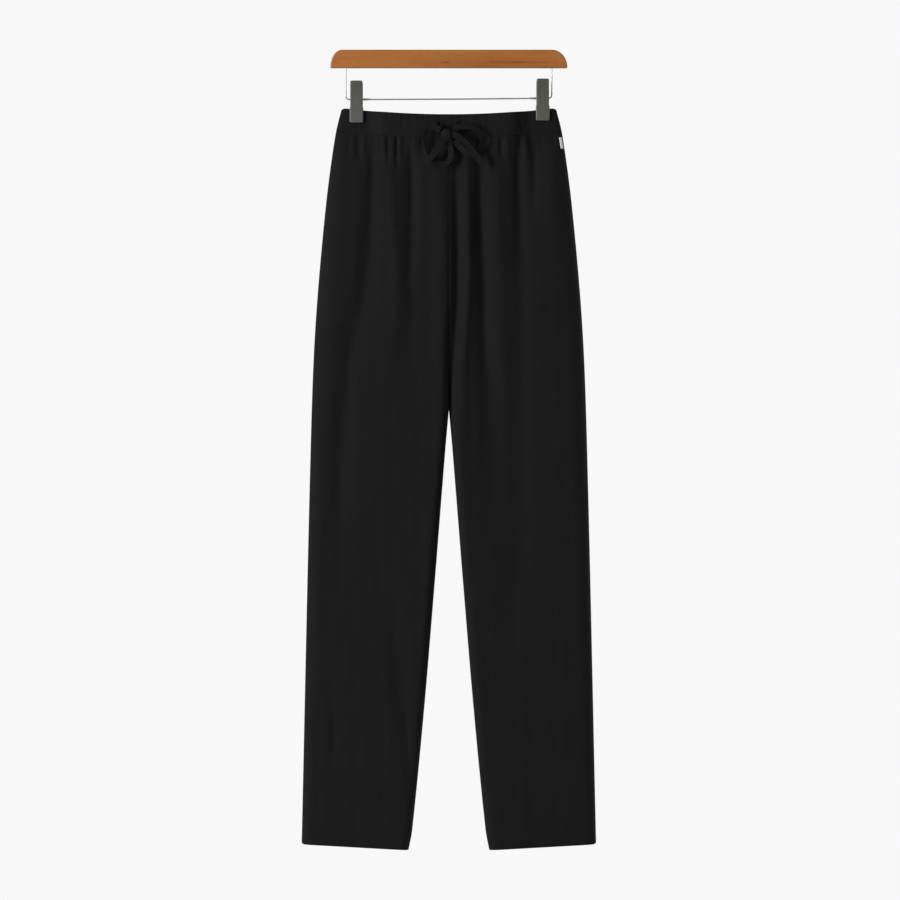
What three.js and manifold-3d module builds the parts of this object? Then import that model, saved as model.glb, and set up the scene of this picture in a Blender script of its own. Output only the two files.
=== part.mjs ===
// Drawstring trousers with a gathered elastic waist, hung by two spring clips from a wooden bar.
// Millimetres, +Z up. The front faces -Y and the wearer's left is +X. The origin is the middle of the bar's
// top.
// The cloth is a flattened tube: every panel is a wall between an outer and an inner surface, and both
// surfaces come from the same few rules for width, depth, rounded edges, the pinch of the clips and the folds.
import * as THREE from "three";
import { mergeVertices } from "three/addons/utils/BufferGeometryUtils.js";
import Module from "manifold-3d";

const wasm = await Module();
wasm.setup();

// Driving dimensions
const GAP = 0.3;
const CLOTH = 1.5;
const HEM_CLOTH = 2.6;
const HEM_TURN = 27;
const BAND_CLOTH = 2.8;
const BAND_HEIGHT = 31.5;
const WAIST_HALF = 145;
const BAND_TOP_MIDDLE = -87.5;
const BAND_TOP_RISE = 9;
const BAND_CORNER = 6;
const CROTCH_Z = -486;
const HEM_INNER_Z = -1079;
const HEM_OUTER_Z = -1071;
const HEM_CORNER = 4;

// Half width to the outseam, half gap to the inseam, half depth, and how far the cloth rounds over at the
// outseam and at the middle seams: [z, value]
const OUTSEAM = [[-78, 144.5], [-116, 153.4], [-216, 166.7], [-378, 180.5], [-540, 186.7], [-1080, 199]];
const INSEAM = [[-486, 0], [-540, 4.8], [-729, 19.9], [-891, 33.5], [-1053, 49.5], [-1080, 54.5]];
const DEPTH = [[-78, 13], [-119, 14.5], [-160, 17], [-260, 20], [-486, 20], [-760, 17], [-1080, 13.5]];
const ROUNDING = [[-78, 11], [-116, 14], [-200, 26], [-400, 30], [-600, 23], [-1080, 19]];
const SEAM_ROUNDING = [[-118, 28], [-300, 17], [-486, 11], [-600, 13], [-1080, 17]];
const EDGE_POWER = 2.6;

// Depth of the groove along the centre front seam and the seat seam, as a share of the half depth
const GROOVE_TOP = { front: 0.06, back: 0.1 };
const GROOVE_POWER = 5;

// The clips nip the cloth to this half depth, out to where it opens again
const NIP_DEPTH = 4.1;
const NIP_INNER = 82;
const NIP_FULL = 113;
const NIP_BOTTOM = -99;
const NIP_FADE = 62;

// A fold stands out in full only where the tube is at least this deep
const FOLD_DEPTH = 10;
const FOLD_POWER = 1.8;

// Folds, each a soft ridge (+) or trough (-) along a hand-laid line: [z, x, height, half width]
const FOLDS = {
  front: [
    [[-112, -104, 0, 7], [-150, -103, -3, 7], [-230, -105, -5, 11], [-324, -112, -5.6, 15],
      [-405, -131, -5, 15], [-475, -139, -5, 15], [-587, -146, -4, 14], [-763, -148, 0, 15]],
    [[-118, -84, 0, 8], [-150, -80, 1.4, 8], [-230, -76, 3, 10], [-324, -70, 3.4, 13],
      [-405, -78, 2.4, 16], [-480, -84, 0, 16]],
    [[-118, -51, 0, 6], [-158, -50, -4.4, 8], [-230, -50, -4.6, 8], [-324, -51, -2, 8], [-450, -51, 0, 9]],
    [[-130, -20, 0, 9], [-160, -16, 1, 9], [-230, -10, 2.6, 11], [-324, -9, 2.8, 14],
      [-405, -10, 2.6, 13], [-475, -12, 1.6, 13], [-587, -20, 0.6, 14], [-700, -30, 0, 14]],
    [[-122, 9, 0, 7], [-158, 10, -3, 7], [-230, 11, -6, 7], [-324, 11, -6.6, 7], [-405, 6.5, -6, 6.5],
      [-478, 3, -4, 6], [-520, 1, 0, 6]],
    [[-130, 24, 0, 6], [-158, 25, 1.4, 6], [-230, 26, 3, 6.5], [-324, 26.5, 3, 6.5], [-405, 21, 3, 7],
      [-475, 18, 2.4, 8], [-587, 18, 1.4, 10], [-700, 24, 0, 10]],
    [[-118, 43, 0, 7], [-158, 43, -5, 8], [-230, 43, -7.6, 9], [-324, 48, -7.2, 10], [-405, 50, -7.2, 12],
      [-475, 56, -5.4, 15], [-587, 60, -3.8, 18], [-700, 64, 0, 19]],
    [[-125, 66, 0, 8], [-158, 66, 1.2, 8], [-230, 66, 2.4, 9], [-324, 68, 1.4, 10], [-405, 70, 1.2, 10],
      [-475, 74, 0, 10]],
    [[-112, 94, 0, 6], [-158, 94, -5, 8], [-230, 96, -5.4, 9.5], [-324, 97, -3.4, 14], [-405, 97, -3.4, 15],
      [-475, 96, -4, 18], [-587, 95, -4, 20], [-700, 92, -2.2, 18], [-763, 88, -1.6, 14], [-860, 84, 0, 14]],
    [[-112, 115, 0, 6], [-140, 116, -2.8, 6], [-180, 114, -3, 7], [-240, 110, 0, 7]],
    [[-118, 140, 0, 9], [-158, 137, 2.2, 11], [-230, 135, 1.6, 14], [-310, 132, 0, 14]],
    [[-850, -156, 0, 8], [-925, -155, -1.6, 7], [-990, -154, 0, 8]],
    [[-660, -104, 0, 12], [-763, -76, -1.6, 12], [-860, -64, -2.4, 12], [-930, -56, -2.6, 10],
      [-1010, -50, -1, 12], [-1050, -48, 0, 12]],
  ],
  back: [
    [[-112, -112, 0, 7], [-155, -113, -3.2, 8], [-240, -116, -4.2, 11], [-360, -134, -3, 14],
      [-560, -150, -1.8, 15], [-760, -154, 0, 15]],
    [[-118, -84, 0, 7], [-155, -82, -4.4, 8], [-250, -78, -4.6, 10], [-400, -72, -2, 12], [-520, -70, 0, 12]],
    [[-125, -62, 0, 9], [-165, -60, 1.6, 10], [-300, -54, 2.2, 12], [-470, -52, 0, 12]],
    [[-118, -36, 0, 7], [-158, -35, -5, 8], [-260, -33, -6, 10], [-400, -38, -3.6, 13],
      [-600, -58, -1.6, 16], [-760, -70, 0, 16]],
    [[-125, 0, 0, 9], [-175, 0, -2, 9], [-320, 0, -3.6, 9], [-440, 0, -3, 8], [-520, 0, 0, 8]],
    [[-118, 29, 0, 6], [-156, 30, -4, 7], [-260, 33, -5.4, 9], [-400, 42, -3.6, 13],
      [-600, 62, -1.8, 16], [-780, 74, 0, 16]],
    [[-125, 54, 0, 8], [-165, 56, 1.8, 9], [-300, 62, 2.2, 12], [-470, 66, 0, 12]],
    [[-118, 79, 0, 7], [-158, 80, -4.6, 8], [-250, 86, -4.6, 10], [-400, 98, -2.2, 13], [-540, 104, 0, 13]],
    [[-112, 110, 0, 6], [-150, 111, -3, 7], [-240, 118, -3.2, 10], [-340, 130, -1.6, 13], [-440, 136, 0, 13]],
    [[-700, 138, 0, 12], [-800, 132, -2, 12], [-940, 118, -2, 12], [-1030, 112, 0, 12]],
    [[-690, -96, 0, 13], [-790, -104, -2, 13], [-900, -118, -2, 13], [-1010, -124, 0, 13]],
  ],
};

// Rows down a leg panel, as shares of the way from band to crotch and from crotch to hem
const UPPER_ROWS = [0, 0.05, 0.12, 0.2, 0.3, 0.41, 0.53, 0.66, 0.8, 0.91];
const LOWER_ROWS = [0, 0.07, 0.17, 0.3, 0.44, 0.58, 0.72, 0.85];
const FRONT_COLUMNS = 30;
const BACK_COLUMNS = 20;
const BAND_COLUMNS = 46;
const BAND_ROWS = 3;
// How evenly the columns are spaced, the rest of them crowding towards the edges
const EVEN_SHARE = 0.12;
const HEM_STEP = 1;

// Hanger: bar, wire, collars and clips
const BAR_HALF = 160;
const BAR_HEIGHT = 24.4;
const BAR_THICK = 13;
const BAR_CORNER = { right: 16, left: 21 };
const WIRE_RADIUS = 1;
const WIRE_X = 139;
const WIRE_Z = { right: -66.9, left: -65.1 };
const WIRE_BEND = 3.5;
const WIRE_SOCKET = 9;
const WIRE_STEPS = 98;
const HOLE_RADIUS = WIRE_RADIUS + GAP + 0.06;
const CLIPS = {
  right: { x: -124.7, top: -42.3, wire: -66.8 },
  left: { x: 126.6, top: -39.6, wire: -65.2 },
};
const CLIP_HEIGHT = 56;
const CLIP_TOP_HALF = 8.3;
const CLIP_STEP_HALF = 8.5;
const CLIP_JAW_HALF = 9.1;
const HINGE_SHARE = 0.42;
const JAW_SHARE = 0.62;
const JAW_STEP = 0.8;
const LEAF = 1.2;
const PAD = 1.5;
const PAD_HALF = 8;
const PAD_HEIGHT = 16;
const PAD_LIFT = 1.5;
const GRIP_Y = 12.6;
const HINGE_Y = 8.6;
const EAR_HALF = 5;
const EAR_PAST = 2.6;
const EAR_INSET = 0.4;
const EAR_DROP = 3.4;
const SPRING_RADIUS = 3.2;
const SPRING_LENGTH = 8;
const COLLAR_LENGTH = 9;
const COLLAR_RADIUS = { clip: 2, end: 1.6 };

// Drawstring: a flat tape, its bow in front of the band, and its routes in x, y, z
const TAPE_WIDTH = 8.5;
const TAPE_THICK = 2;
const KNOT = { centre: [-2.5, -23.6, -115.5], half: [8.6, 5.2, 6.6] };
const BUTTONHOLE = { x: 13.5, z: -103, width: 4.8, height: 11.6, front: -30, back: -5 };
const ROUTES = {
  drawstring_lead_left: [[13.5, -12.8, -103], [13.1, -15.9, -103.6], [10.6, -17.5, -106.4],
    [6.4, -17.7, -110.8]],
  drawstring_lead_right: [[-13.5, -12.8, -103], [-13.3, -15.9, -103.6], [-11.6, -17.6, -106.4],
    [-9, -18.2, -110.2]],
  drawstring_loop_right: [[-11.3, -22, -110], [-19, -21.6, -106], [-27, -21.2, -107], [-32, -21, -114],
    [-31, -21.2, -127], [-26, -21.8, -141], [-17, -22.4, -152], [-6, -22.4, -155.5], [2, -22.2, -148],
    [2.4, -22, -136], [-1, -21.8, -125.5]],
  drawstring_loop_left: [[6, -22, -109], [15, -21.6, -105], [28, -21.2, -105.5], [40, -21, -110.5],
    [46, -21, -120.5], [43.5, -21.4, -132], [35, -21.8, -141], [24.5, -22, -140.5], [15.4, -22, -132.5],
    [8.4, -21.8, -123.6]],
  drawstring_tail_right: [[-8.6, -26.8, -122.2], [-12.5, -27.2, -129], [-17.5, -27, -137.5],
    [-23.5, -26.4, -146], [-31, -25.6, -153.6]],
  drawstring_tail_left: [[7.2, -26.6, -116.4], [14, -27.2, -119.6], [22, -27.2, -126.4], [31, -26.8, -137],
    [39.5, -26.2, -147.6], [47.4, -25.4, -157]],
};

// A blank label caught in the wearer's left side seam
const TAG = { top: -118.5, height: 15, near: 3.1, far: 5.9, thick: 0.8, lift: 0.8, lean: 0.8 };

const CLOTH_LOOK = { color: 0x1c1c20, roughness: 0.92, metalness: 0 };
const TAPE_LOOK = { color: 0x18181b, roughness: 0.9, metalness: 0 };
const TAG_LOOK = { color: 0xe6e6e4, roughness: 0.6, metalness: 0 };
const WOOD_LOOK = { color: 0xa8662f, roughness: 0.45, metalness: 0 };
const STEEL_LOOK = { color: 0x8b8b88, roughness: 0.35, metalness: 1 };
const CLIP_LOOK = { color: 0x5a5c55, roughness: 0.5, metalness: 0.6 };
const RUBBER_LOOK = { color: 0x2a2a2a, roughness: 0.8, metalness: 0 };

// A smooth curve through [t, value, value, ...] rows whose t falls, read at t and held level past both ends
function through(rows, t, column = 1) {
  const last = rows.length - 1;
  if (t >= rows[0][0]) return rows[0][column];
  if (t <= rows[last][0]) return rows[last][column];
  const i = rows.findIndex((row) => row[0] < t) - 1;
  const slope = (a, b) => (rows[b][column] - rows[a][column]) / (rows[b][0] - rows[a][0]);
  const start = i === 0 ? slope(0, 1) : slope(i - 1, i + 1);
  const end = i + 1 === last ? slope(last - 1, last) : slope(i, i + 2);
  const span = rows[i + 1][0] - rows[i][0];
  const u = (t - rows[i][0]) / span;
  const u2 = u * u;
  const u3 = u2 * u;
  return (2 * u3 - 3 * u2 + 1) * rows[i][column] + (u3 - 2 * u2 + u) * span * start
    + (3 * u2 - 2 * u3) * rows[i + 1][column] + (u3 - u2) * span * end;
}

function soft(edge0, edge1, value) {
  return THREE.MathUtils.smoothstep((value - edge0) / (edge1 - edge0), 0, 1);
}

// How far a rounded corner of this radius, cut in by half, drops the edge at x
function cornerDrop(x, edge, radius) {
  const past = THREE.MathUtils.clamp((Math.abs(x) - edge + radius) / radius, 0, 1);
  return radius * (1 - Math.sqrt(1 - past ** 2)) / 2;
}

// 0 at an edge, rising steeply to 1 where the cloth lies flat, like a rounded fold
function rounded(distance, reach) {
  const share = THREE.MathUtils.clamp(distance / reach, 0, 1);
  return (1 - (1 - share) ** EDGE_POWER) ** (1 / EDGE_POWER);
}

function bandBottom(x) {
  return BAND_TOP_MIDDLE - BAND_HEIGHT + BAND_TOP_RISE * (x / WAIST_HALF) ** 2;
}

function bandTop(x) {
  return bandBottom(x) + BAND_HEIGHT - cornerDrop(x, WAIST_HALF, BAND_CORNER);
}

function hemLine(x) {
  const inner = through(INSEAM, HEM_INNER_Z);
  const outer = through(OUTSEAM, HEM_OUTER_Z);
  const share = THREE.MathUtils.clamp((Math.abs(x) - inner) / (outer - inner), 0, 1);
  return THREE.MathUtils.lerp(HEM_INNER_Z, HEM_OUTER_Z, share) + cornerDrop(x, outer, HEM_CORNER);
}

// Half depth of the flattened tube before its edges round over: nipped by the clips at the waist
function halfDepth(x, z) {
  const open = through(DEPTH, z);
  const across = soft(NIP_INNER, NIP_FULL, Math.abs(x));
  const down = 1 - soft(0, NIP_FADE, NIP_BOTTOM - z);
  return THREE.MathUtils.lerp(open, NIP_DEPTH, across * down);
}

function foldHeight(side, x, z) {
  let height = 0;
  for (const fold of FOLDS[side]) {
    const away = Math.abs(x - through(fold, z, 1)) / through(fold, z, 3);
    height += through(fold, z, 2) * Math.exp(-(away ** FOLD_POWER));
  }
  return height;
}

// How deep the seam groove in the middle is: 0 level, 1 all the way in, as at the crotch and down each inseam
function grooveShare(side, z) {
  const bandZ = bandBottom(0);
  const down = THREE.MathUtils.clamp((z - bandZ) / (CROTCH_Z - bandZ), 0, 1);
  return THREE.MathUtils.lerp(GROOVE_TOP[side], 1, down ** GROOVE_POWER);
}

// Distance from the tube's middle plane to the outer surface (wall 0) or to the inner one (wall = cloth)
function distanceFromMiddle(side, x, z, wall, foldX, groove) {
  const innerEdge = z > CROTCH_Z ? 0 : through(INSEAM, z);
  const outer = rounded(through(OUTSEAM, z) - Math.abs(x) - wall, through(ROUNDING, z));
  const inner = rounded(Math.abs(x) - innerEdge - GAP / 2 - wall, through(SEAM_ROUNDING, z));
  const shape = outer * (1 - groove + groove * inner);
  const depth = halfDepth(x, z);
  return (depth - wall) * shape + foldHeight(side, foldX, z) * Math.min(1, depth * shape / FOLD_DEPTH);
}

// Closes a wall between two grids of points of the same size
function wallGeometry(outer, inner) {
  const rows = outer.length;
  const columns = outer[0].length;
  const bottom = rows - 1;
  const right = columns - 1;
  const positions = [...outer, ...inner].flat().flatMap((point) => [point.x, point.y, point.z]);
  const at = (layer, row, column) => layer * rows * columns + row * columns + column;
  const faces = [];
  const quad = (a, b, c, d) => faces.push(a, b, c, a, c, d);
  for (let row = 0; row < bottom; row += 1) {
    for (let column = 0; column < right; column += 1) {
      quad(at(0, row, column), at(0, row + 1, column), at(0, row + 1, column + 1), at(0, row, column + 1));
      quad(at(1, row, column), at(1, row, column + 1), at(1, row + 1, column + 1), at(1, row + 1, column));
    }
    quad(at(0, row, 0), at(1, row, 0), at(1, row + 1, 0), at(0, row + 1, 0));
    quad(at(0, row, right), at(0, row + 1, right), at(1, row + 1, right), at(1, row, right));
  }
  for (let column = 0; column < right; column += 1) {
    quad(at(0, 0, column), at(0, 0, column + 1), at(1, 0, column + 1), at(1, 0, column));
    quad(at(0, bottom, column), at(1, bottom, column), at(1, bottom, column + 1), at(0, bottom, column + 1));
  }
  if (volumeOf(positions, faces) < 0) faces.reverse();
  const geometry = new THREE.BufferGeometry();
  geometry.setAttribute("position", new THREE.Float32BufferAttribute(positions, 3));
  geometry.setIndex(faces);
  return geometry;
}

function volumeOf(positions, faces) {
  const corner = (index) => new THREE.Vector3().fromArray(positions, index * 3);
  let volume = 0;
  for (let i = 0; i < faces.length; i += 3) {
    volume += corner(faces[i]).dot(corner(faces[i + 1]).cross(corner(faces[i + 2]))) / 6;
  }
  return volume;
}

// A share from 0 to 1 along a row, closer together towards both ends where the cloth turns over
function station(column, columns) {
  const t = column / (columns - 1);
  return EVEN_SHARE * t + (1 - EVEN_SHARE) * (1 - Math.cos(Math.PI * t)) / 2;
}

// One leg panel. side is front or back; hand is 1 for the wearer's left and -1 for the right
function panelGeometry(side, hand, columns) {
  const facing = side === "front" ? -1 : 1;
  const outer = [];
  const inner = [];
  const addRow = (share, lower) => {
    const outerRow = [];
    const innerRow = [];
    for (let column = 0; column < columns; column += 1) {
      const s = station(column, columns);
      const reachX = THREE.MathUtils.lerp(0, WAIST_HALF, s);
      const legX = THREE.MathUtils.lerp(through(INSEAM, HEM_INNER_Z), through(OUTSEAM, HEM_OUTER_Z), s);
      const z = lower
        ? THREE.MathUtils.lerp(CROTCH_Z, hemLine(legX), share)
        : THREE.MathUtils.lerp(bandBottom(reachX) - GAP, CROTCH_Z, share);
      const wall = lower && z < hemLine(legX) + HEM_TURN + HEM_STEP / 2 ? HEM_CLOTH : CLOTH;
      const edge = (lower ? through(INSEAM, z) : 0) + GAP / 2;
      const outseam = through(OUTSEAM, z);
      const groove = grooveShare(side, z);
      const x = THREE.MathUtils.lerp(edge, outseam, s);
      const wallX = THREE.MathUtils.lerp(edge + wall, outseam - wall, s);
      const out = distanceFromMiddle(side, hand * x, z, 0, hand * x, groove);
      const back = distanceFromMiddle(side, hand * wallX, z, wall, hand * x, groove);
      outerRow.push(new THREE.Vector3(hand * x, facing * (GAP / 2 + out), z));
      innerRow.push(new THREE.Vector3(hand * wallX, facing * (GAP / 2 + Math.max(back, 0)), z));
    }
    outer.push(outerRow);
    inner.push(innerRow);
  };
  UPPER_ROWS.forEach((share) => addRow(share, false));
  LOWER_ROWS.forEach((share) => addRow(share, true));
  addRow(1 - (HEM_TURN + HEM_STEP) / (CROTCH_Z - HEM_INNER_Z), true);
  addRow(1 - HEM_TURN / (CROTCH_Z - HEM_INNER_Z), true);
  addRow(1, true);
  return wallGeometry(outer, inner);
}

// One half of the waistband, from side seam to side seam
function bandGeometry(side) {
  const facing = side === "front" ? -1 : 1;
  const outer = [];
  const inner = [];
  for (let row = 0; row < BAND_ROWS; row += 1) {
    const outerRow = [];
    const innerRow = [];
    for (let column = 0; column < BAND_COLUMNS; column += 1) {
      const s = 2 * station(column, BAND_COLUMNS) - 1;
      const waistX = s * WAIST_HALF;
      const z = THREE.MathUtils.lerp(bandTop(waistX), bandBottom(waistX), row / (BAND_ROWS - 1));
      const x = s * through(OUTSEAM, z);
      const wallX = s * (through(OUTSEAM, z) - BAND_CLOTH);
      const reach = through(ROUNDING, z);
      const depth = halfDepth(x, z);
      const out = depth * rounded(through(OUTSEAM, z) - Math.abs(x), reach);
      const back = (depth - BAND_CLOTH) * rounded(through(OUTSEAM, z) - BAND_CLOTH - Math.abs(wallX), reach);
      outerRow.push(new THREE.Vector3(x, facing * (GAP / 2 + out), z));
      innerRow.push(new THREE.Vector3(wallX, facing * (GAP / 2 + back), z));
    }
    outer.push(outerRow);
    inner.push(innerRow);
  }
  return wallGeometry(outer, inner);
}

function toManifold(geometry) {
  const bare = geometry.clone();
  bare.deleteAttribute("normal");
  bare.deleteAttribute("uv");
  const merged = mergeVertices(bare, 1e-4);
  return new wasm.Manifold(new wasm.Mesh({
    numProp: 3,
    vertProperties: new Float32Array(merged.attributes.position.array),
    triVerts: new Uint32Array(merged.index.array),
  }));
}

function fromManifold(solid) {
  const mesh = solid.getMesh();
  const geometry = new THREE.BufferGeometry();
  geometry.setAttribute("position", new THREE.BufferAttribute(mesh.vertProperties, 3));
  geometry.setIndex(new THREE.BufferAttribute(mesh.triVerts, 1));
  return geometry;
}

// A cylinder along an axis, used as a hole
function rod(radius, length, axis, x, y, z) {
  const geometry = new THREE.CylinderGeometry(radius, radius, length, 12);
  if (axis === "x") geometry.rotateZ(Math.PI / 2);
  if (axis === "z") geometry.rotateX(Math.PI / 2);
  return geometry.translate(x, y, z);
}

// A box between two opposite corners, given in any order along each axis
function box(x0, x1, y0, y1, z0, z1) {
  const geometry = new THREE.BoxGeometry(Math.abs(x1 - x0), Math.abs(y1 - y0), Math.abs(z1 - z0));
  return geometry.translate((x0 + x1) / 2, (y0 + y1) / 2, (z0 + z1) / 2);
}

// The wooden bar: a flat top, ends that round down to the full length at the underside, two wire sockets
function barGeometry() {
  const outline = new THREE.Shape();
  outline.moveTo(-BAR_HALF, -BAR_HEIGHT);
  outline.lineTo(BAR_HALF, -BAR_HEIGHT);
  const { left, right } = BAR_CORNER;
  outline.absellipse(BAR_HALF - left, -BAR_HEIGHT, left, BAR_HEIGHT, 0, Math.PI / 2, false);
  outline.absellipse(-BAR_HALF + right, -BAR_HEIGHT, right, BAR_HEIGHT, Math.PI / 2, Math.PI, false);
  const bar = new THREE.ExtrudeGeometry(outline, { depth: BAR_THICK, bevelEnabled: false, curveSegments: 8 });
  bar.rotateX(Math.PI / 2).translate(0, BAR_THICK / 2, 0);
  let solid = toManifold(bar);
  for (const side of [-1, 1]) {
    const socket = rod(HOLE_RADIUS, 2 * (WIRE_SOCKET + GAP), "z", side * WIRE_X, 0, -BAR_HEIGHT);
    solid = solid.subtract(toManifold(socket));
  }
  return fromManifold(solid);
}

// The wire: down from one socket, round a bend, along under the bar and up to the other socket
function wireGeometry() {
  const top = -BAR_HEIGHT + WIRE_SOCKET;
  const path = new THREE.CurvePath();
  const point = (x, z) => new THREE.Vector3(x, 0, z);
  path.add(new THREE.LineCurve3(point(-WIRE_X, top), point(-WIRE_X, WIRE_Z.right + WIRE_BEND)));
  path.add(new THREE.QuadraticBezierCurve3(point(-WIRE_X, WIRE_Z.right + WIRE_BEND),
    point(-WIRE_X, WIRE_Z.right), point(-WIRE_X + WIRE_BEND, WIRE_Z.right)));
  path.add(new THREE.LineCurve3(point(-WIRE_X + WIRE_BEND, WIRE_Z.right),
    point(WIRE_X - WIRE_BEND, WIRE_Z.left)));
  path.add(new THREE.QuadraticBezierCurve3(point(WIRE_X - WIRE_BEND, WIRE_Z.left),
    point(WIRE_X, WIRE_Z.left), point(WIRE_X, WIRE_Z.left + WIRE_BEND)));
  path.add(new THREE.LineCurve3(point(WIRE_X, WIRE_Z.left + WIRE_BEND), point(WIRE_X, top)));
  const section = new THREE.Shape().absarc(0, 0, WIRE_RADIUS, 0, 2 * Math.PI, false);
  return new THREE.ExtrudeGeometry(section, { extrudePath: path, steps: WIRE_STEPS, curveSegments: 4 });
}

// A ring around the wire, lying along X, with its outer radius at each end
function ringGeometry(start, end, length) {
  const half = length / 2;
  const corners = [[HOLE_RADIUS, -half], [end, -half], [start, half], [HOLE_RADIUS, half]];
  const profile = [...corners, corners[0]].map(([r, y]) => new THREE.Vector2(r, y));
  const ring = new THREE.LatheGeometry(profile, 12);
  return ring.rotateZ(Math.PI / 2);
}

// One leaf of a clip, its top at z = 0 and the wire at z = wire: finger grip, bend at the hinge, flat jaw.
// Its two ears reach past the wire and are drilled for it; the other leaf's ears fit beside them.
function leafGeometry(facing, wire, jawY, earInset) {
  const hinge = -CLIP_HEIGHT * HINGE_SHARE;
  const jaw = -CLIP_HEIGHT * JAW_SHARE;
  const rows = [[0, GRIP_Y, CLIP_TOP_HALF], [hinge, HINGE_Y, CLIP_STEP_HALF],
    [jaw, jawY, CLIP_STEP_HALF], [jaw - JAW_STEP, jawY, CLIP_JAW_HALF], [-CLIP_HEIGHT, jawY, CLIP_JAW_HALF]];
  const grid = (inset) => rows.map(([z, y, half]) => [-1, 1].map((side) => new THREE.Vector3(
    side * half, facing * (y + LEAF - inset), z)));
  let solid = toManifold(wallGeometry(grid(0), grid(LEAF)));
  for (const side of [-1, 1]) {
    const edge = side * (CLIP_STEP_HALF - EAR_INSET - earInset);
    const root = facing * (HINGE_Y + LEAF / 2);
    const ear = box(edge, edge - side * LEAF, -facing * EAR_PAST, root, wire - EAR_DROP, wire + EAR_HALF);
    solid = solid.add(toManifold(ear));
  }
  const hole = rod(HOLE_RADIUS, 4 * CLIP_JAW_HALF, "x", 0, 0, wire);
  return fromManifold(solid.subtract(toManifold(hole)));
}

function tapeGeometry(route) {
  const path = new THREE.CatmullRomCurve3(route.map((point) => new THREE.Vector3(...point)));
  const section = new THREE.Shape();
  section.absellipse(0, 0, TAPE_THICK / 2, TAPE_WIDTH / 2, 0, 2 * Math.PI, false);
  const steps = 2 * route.length;
  return new THREE.ExtrudeGeometry(section, { extrudePath: path, steps, curveSegments: 5 });
}

// The label lies on the panel's points beside the side seam, moved out by the gap
function tagGeometry() {
  const outer = [];
  const inner = [];
  for (const share of [0, 0.33, 0.67, 1]) {
    const z = TAG.top - TAG.height * share;
    const rows = [0, 0.25, 0.5, 0.75, 1].map((t) => {
      const x = through(OUTSEAM, z) - THREE.MathUtils.lerp(TAG.near, TAG.far, t);
      return [x, GAP / 2 + distanceFromMiddle("front", x, z, 0, x, grooveShare("front", z))];
    });
    const lift = (amount) => rows.map(([x, y]) => new THREE.Vector3(x + amount * TAG.lean, -(y + amount), z));
    inner.push(lift(TAG.lift));
    outer.push(lift(TAG.lift + TAG.thick));
  }
  return wallGeometry(outer, inner);
}

const trousers = new THREE.Group();

function addPiece(name, geometry, look, position = [0, 0, 0]) {
  const mesh = new THREE.Mesh(geometry, new THREE.MeshStandardMaterial(look));
  mesh.name = name;
  mesh.position.set(...position);
  trousers.add(mesh);
}

for (const [name, hand] of [["left", 1], ["right", -1]]) {
  addPiece(`front_${name}`, panelGeometry("front", hand, FRONT_COLUMNS), CLOTH_LOOK);
  addPiece(`back_${name}`, panelGeometry("back", hand, BACK_COLUMNS), CLOTH_LOOK);
}

// The front half of the casing has a buttonhole on each side of the middle, where the tape comes out
let frontBand = toManifold(bandGeometry("front"));
for (const side of [-1, 1]) {
  const { x, z, width, height, front, back } = BUTTONHOLE;
  const middle = side * x;
  const slot = box(middle - width / 2, middle + width / 2, front, back, z - height / 2, z + height / 2);
  frontBand = frontBand.subtract(toManifold(slot));
}
addPiece("waistband_front", fromManifold(frontBand), CLOTH_LOOK);
addPiece("waistband_back", bandGeometry("back"), CLOTH_LOOK);
addPiece("side_tag", tagGeometry(), TAG_LOOK);

const knot = new THREE.SphereGeometry(1, 14, 10).scale(...KNOT.half);
addPiece("drawstring_knot", knot, TAPE_LOOK, KNOT.centre);
for (const [name, route] of Object.entries(ROUTES)) {
  addPiece(name, tapeGeometry(route), TAPE_LOOK);
}

addPiece("hanger_bar", barGeometry(), WOOD_LOOK);
addPiece("hanger_wire", wireGeometry(), STEEL_LOOK);
for (const [name, clip] of Object.entries(CLIPS)) {
  const inward = -Math.sign(clip.x);
  const wireZ = clip.wire - clip.top;
  const jawY = NIP_DEPTH + GAP / 2 + 2 * GAP + PAD;
  const collarX = clip.x + inward * (CLIP_JAW_HALF + GAP + COLLAR_LENGTH / 2);
  const collarZ = THREE.MathUtils.mapLinear(collarX, -WIRE_X, WIRE_X, WIRE_Z.right, WIRE_Z.left);
  addPiece(`clip_${name}_front`, leafGeometry(-1, wireZ, jawY, 0), CLIP_LOOK, [clip.x, 0, clip.top]);
  addPiece(`clip_${name}_back`, leafGeometry(1, wireZ, jawY, LEAF + GAP), CLIP_LOOK, [clip.x, 0, clip.top]);
  const spring = ringGeometry(SPRING_RADIUS, SPRING_RADIUS, SPRING_LENGTH);
  addPiece(`clip_${name}_spring`, spring, STEEL_LOOK, [clip.x, 0, clip.wire]);
  const radii = inward > 0 ? [COLLAR_RADIUS.clip, COLLAR_RADIUS.end] : [COLLAR_RADIUS.end, COLLAR_RADIUS.clip];
  const collar = ringGeometry(...radii, COLLAR_LENGTH);
  addPiece(`wire_collar_${name}`, collar, STEEL_LOOK, [collarX, 0, collarZ]);
  for (const [side, facing] of [["front", -1], ["back", 1]]) {
    const nearY = facing * (NIP_DEPTH + GAP / 2 + GAP);
    const bottom = -CLIP_HEIGHT + PAD_LIFT;
    const pad = box(-PAD_HALF, PAD_HALF, nearY, nearY + facing * PAD, bottom, bottom + PAD_HEIGHT);
    addPiece(`clip_${name}_pad_${side}`, pad, RUBBER_LOOK, [clip.x, 0, clip.top]);
  }
}

export default trousers;
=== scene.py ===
# %% [markdown]
# # Drawstring trousers on a wooden clip hanger
# These are black straight-leg trousers with a gathered elastic waist and a tape tied in a bow. Two spring
# clips hold them flat under a wooden bar. The imported model gives every solid its size and place, and this
# lesson builds the cloth, tape, wood and metal around it. The cloth could be simulated, but a garment that
# hangs still shows its maker's folds in known places, so each panel is a fine wall whose folds are laid one
# by one.

# %% Load the imported model
import math

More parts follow.
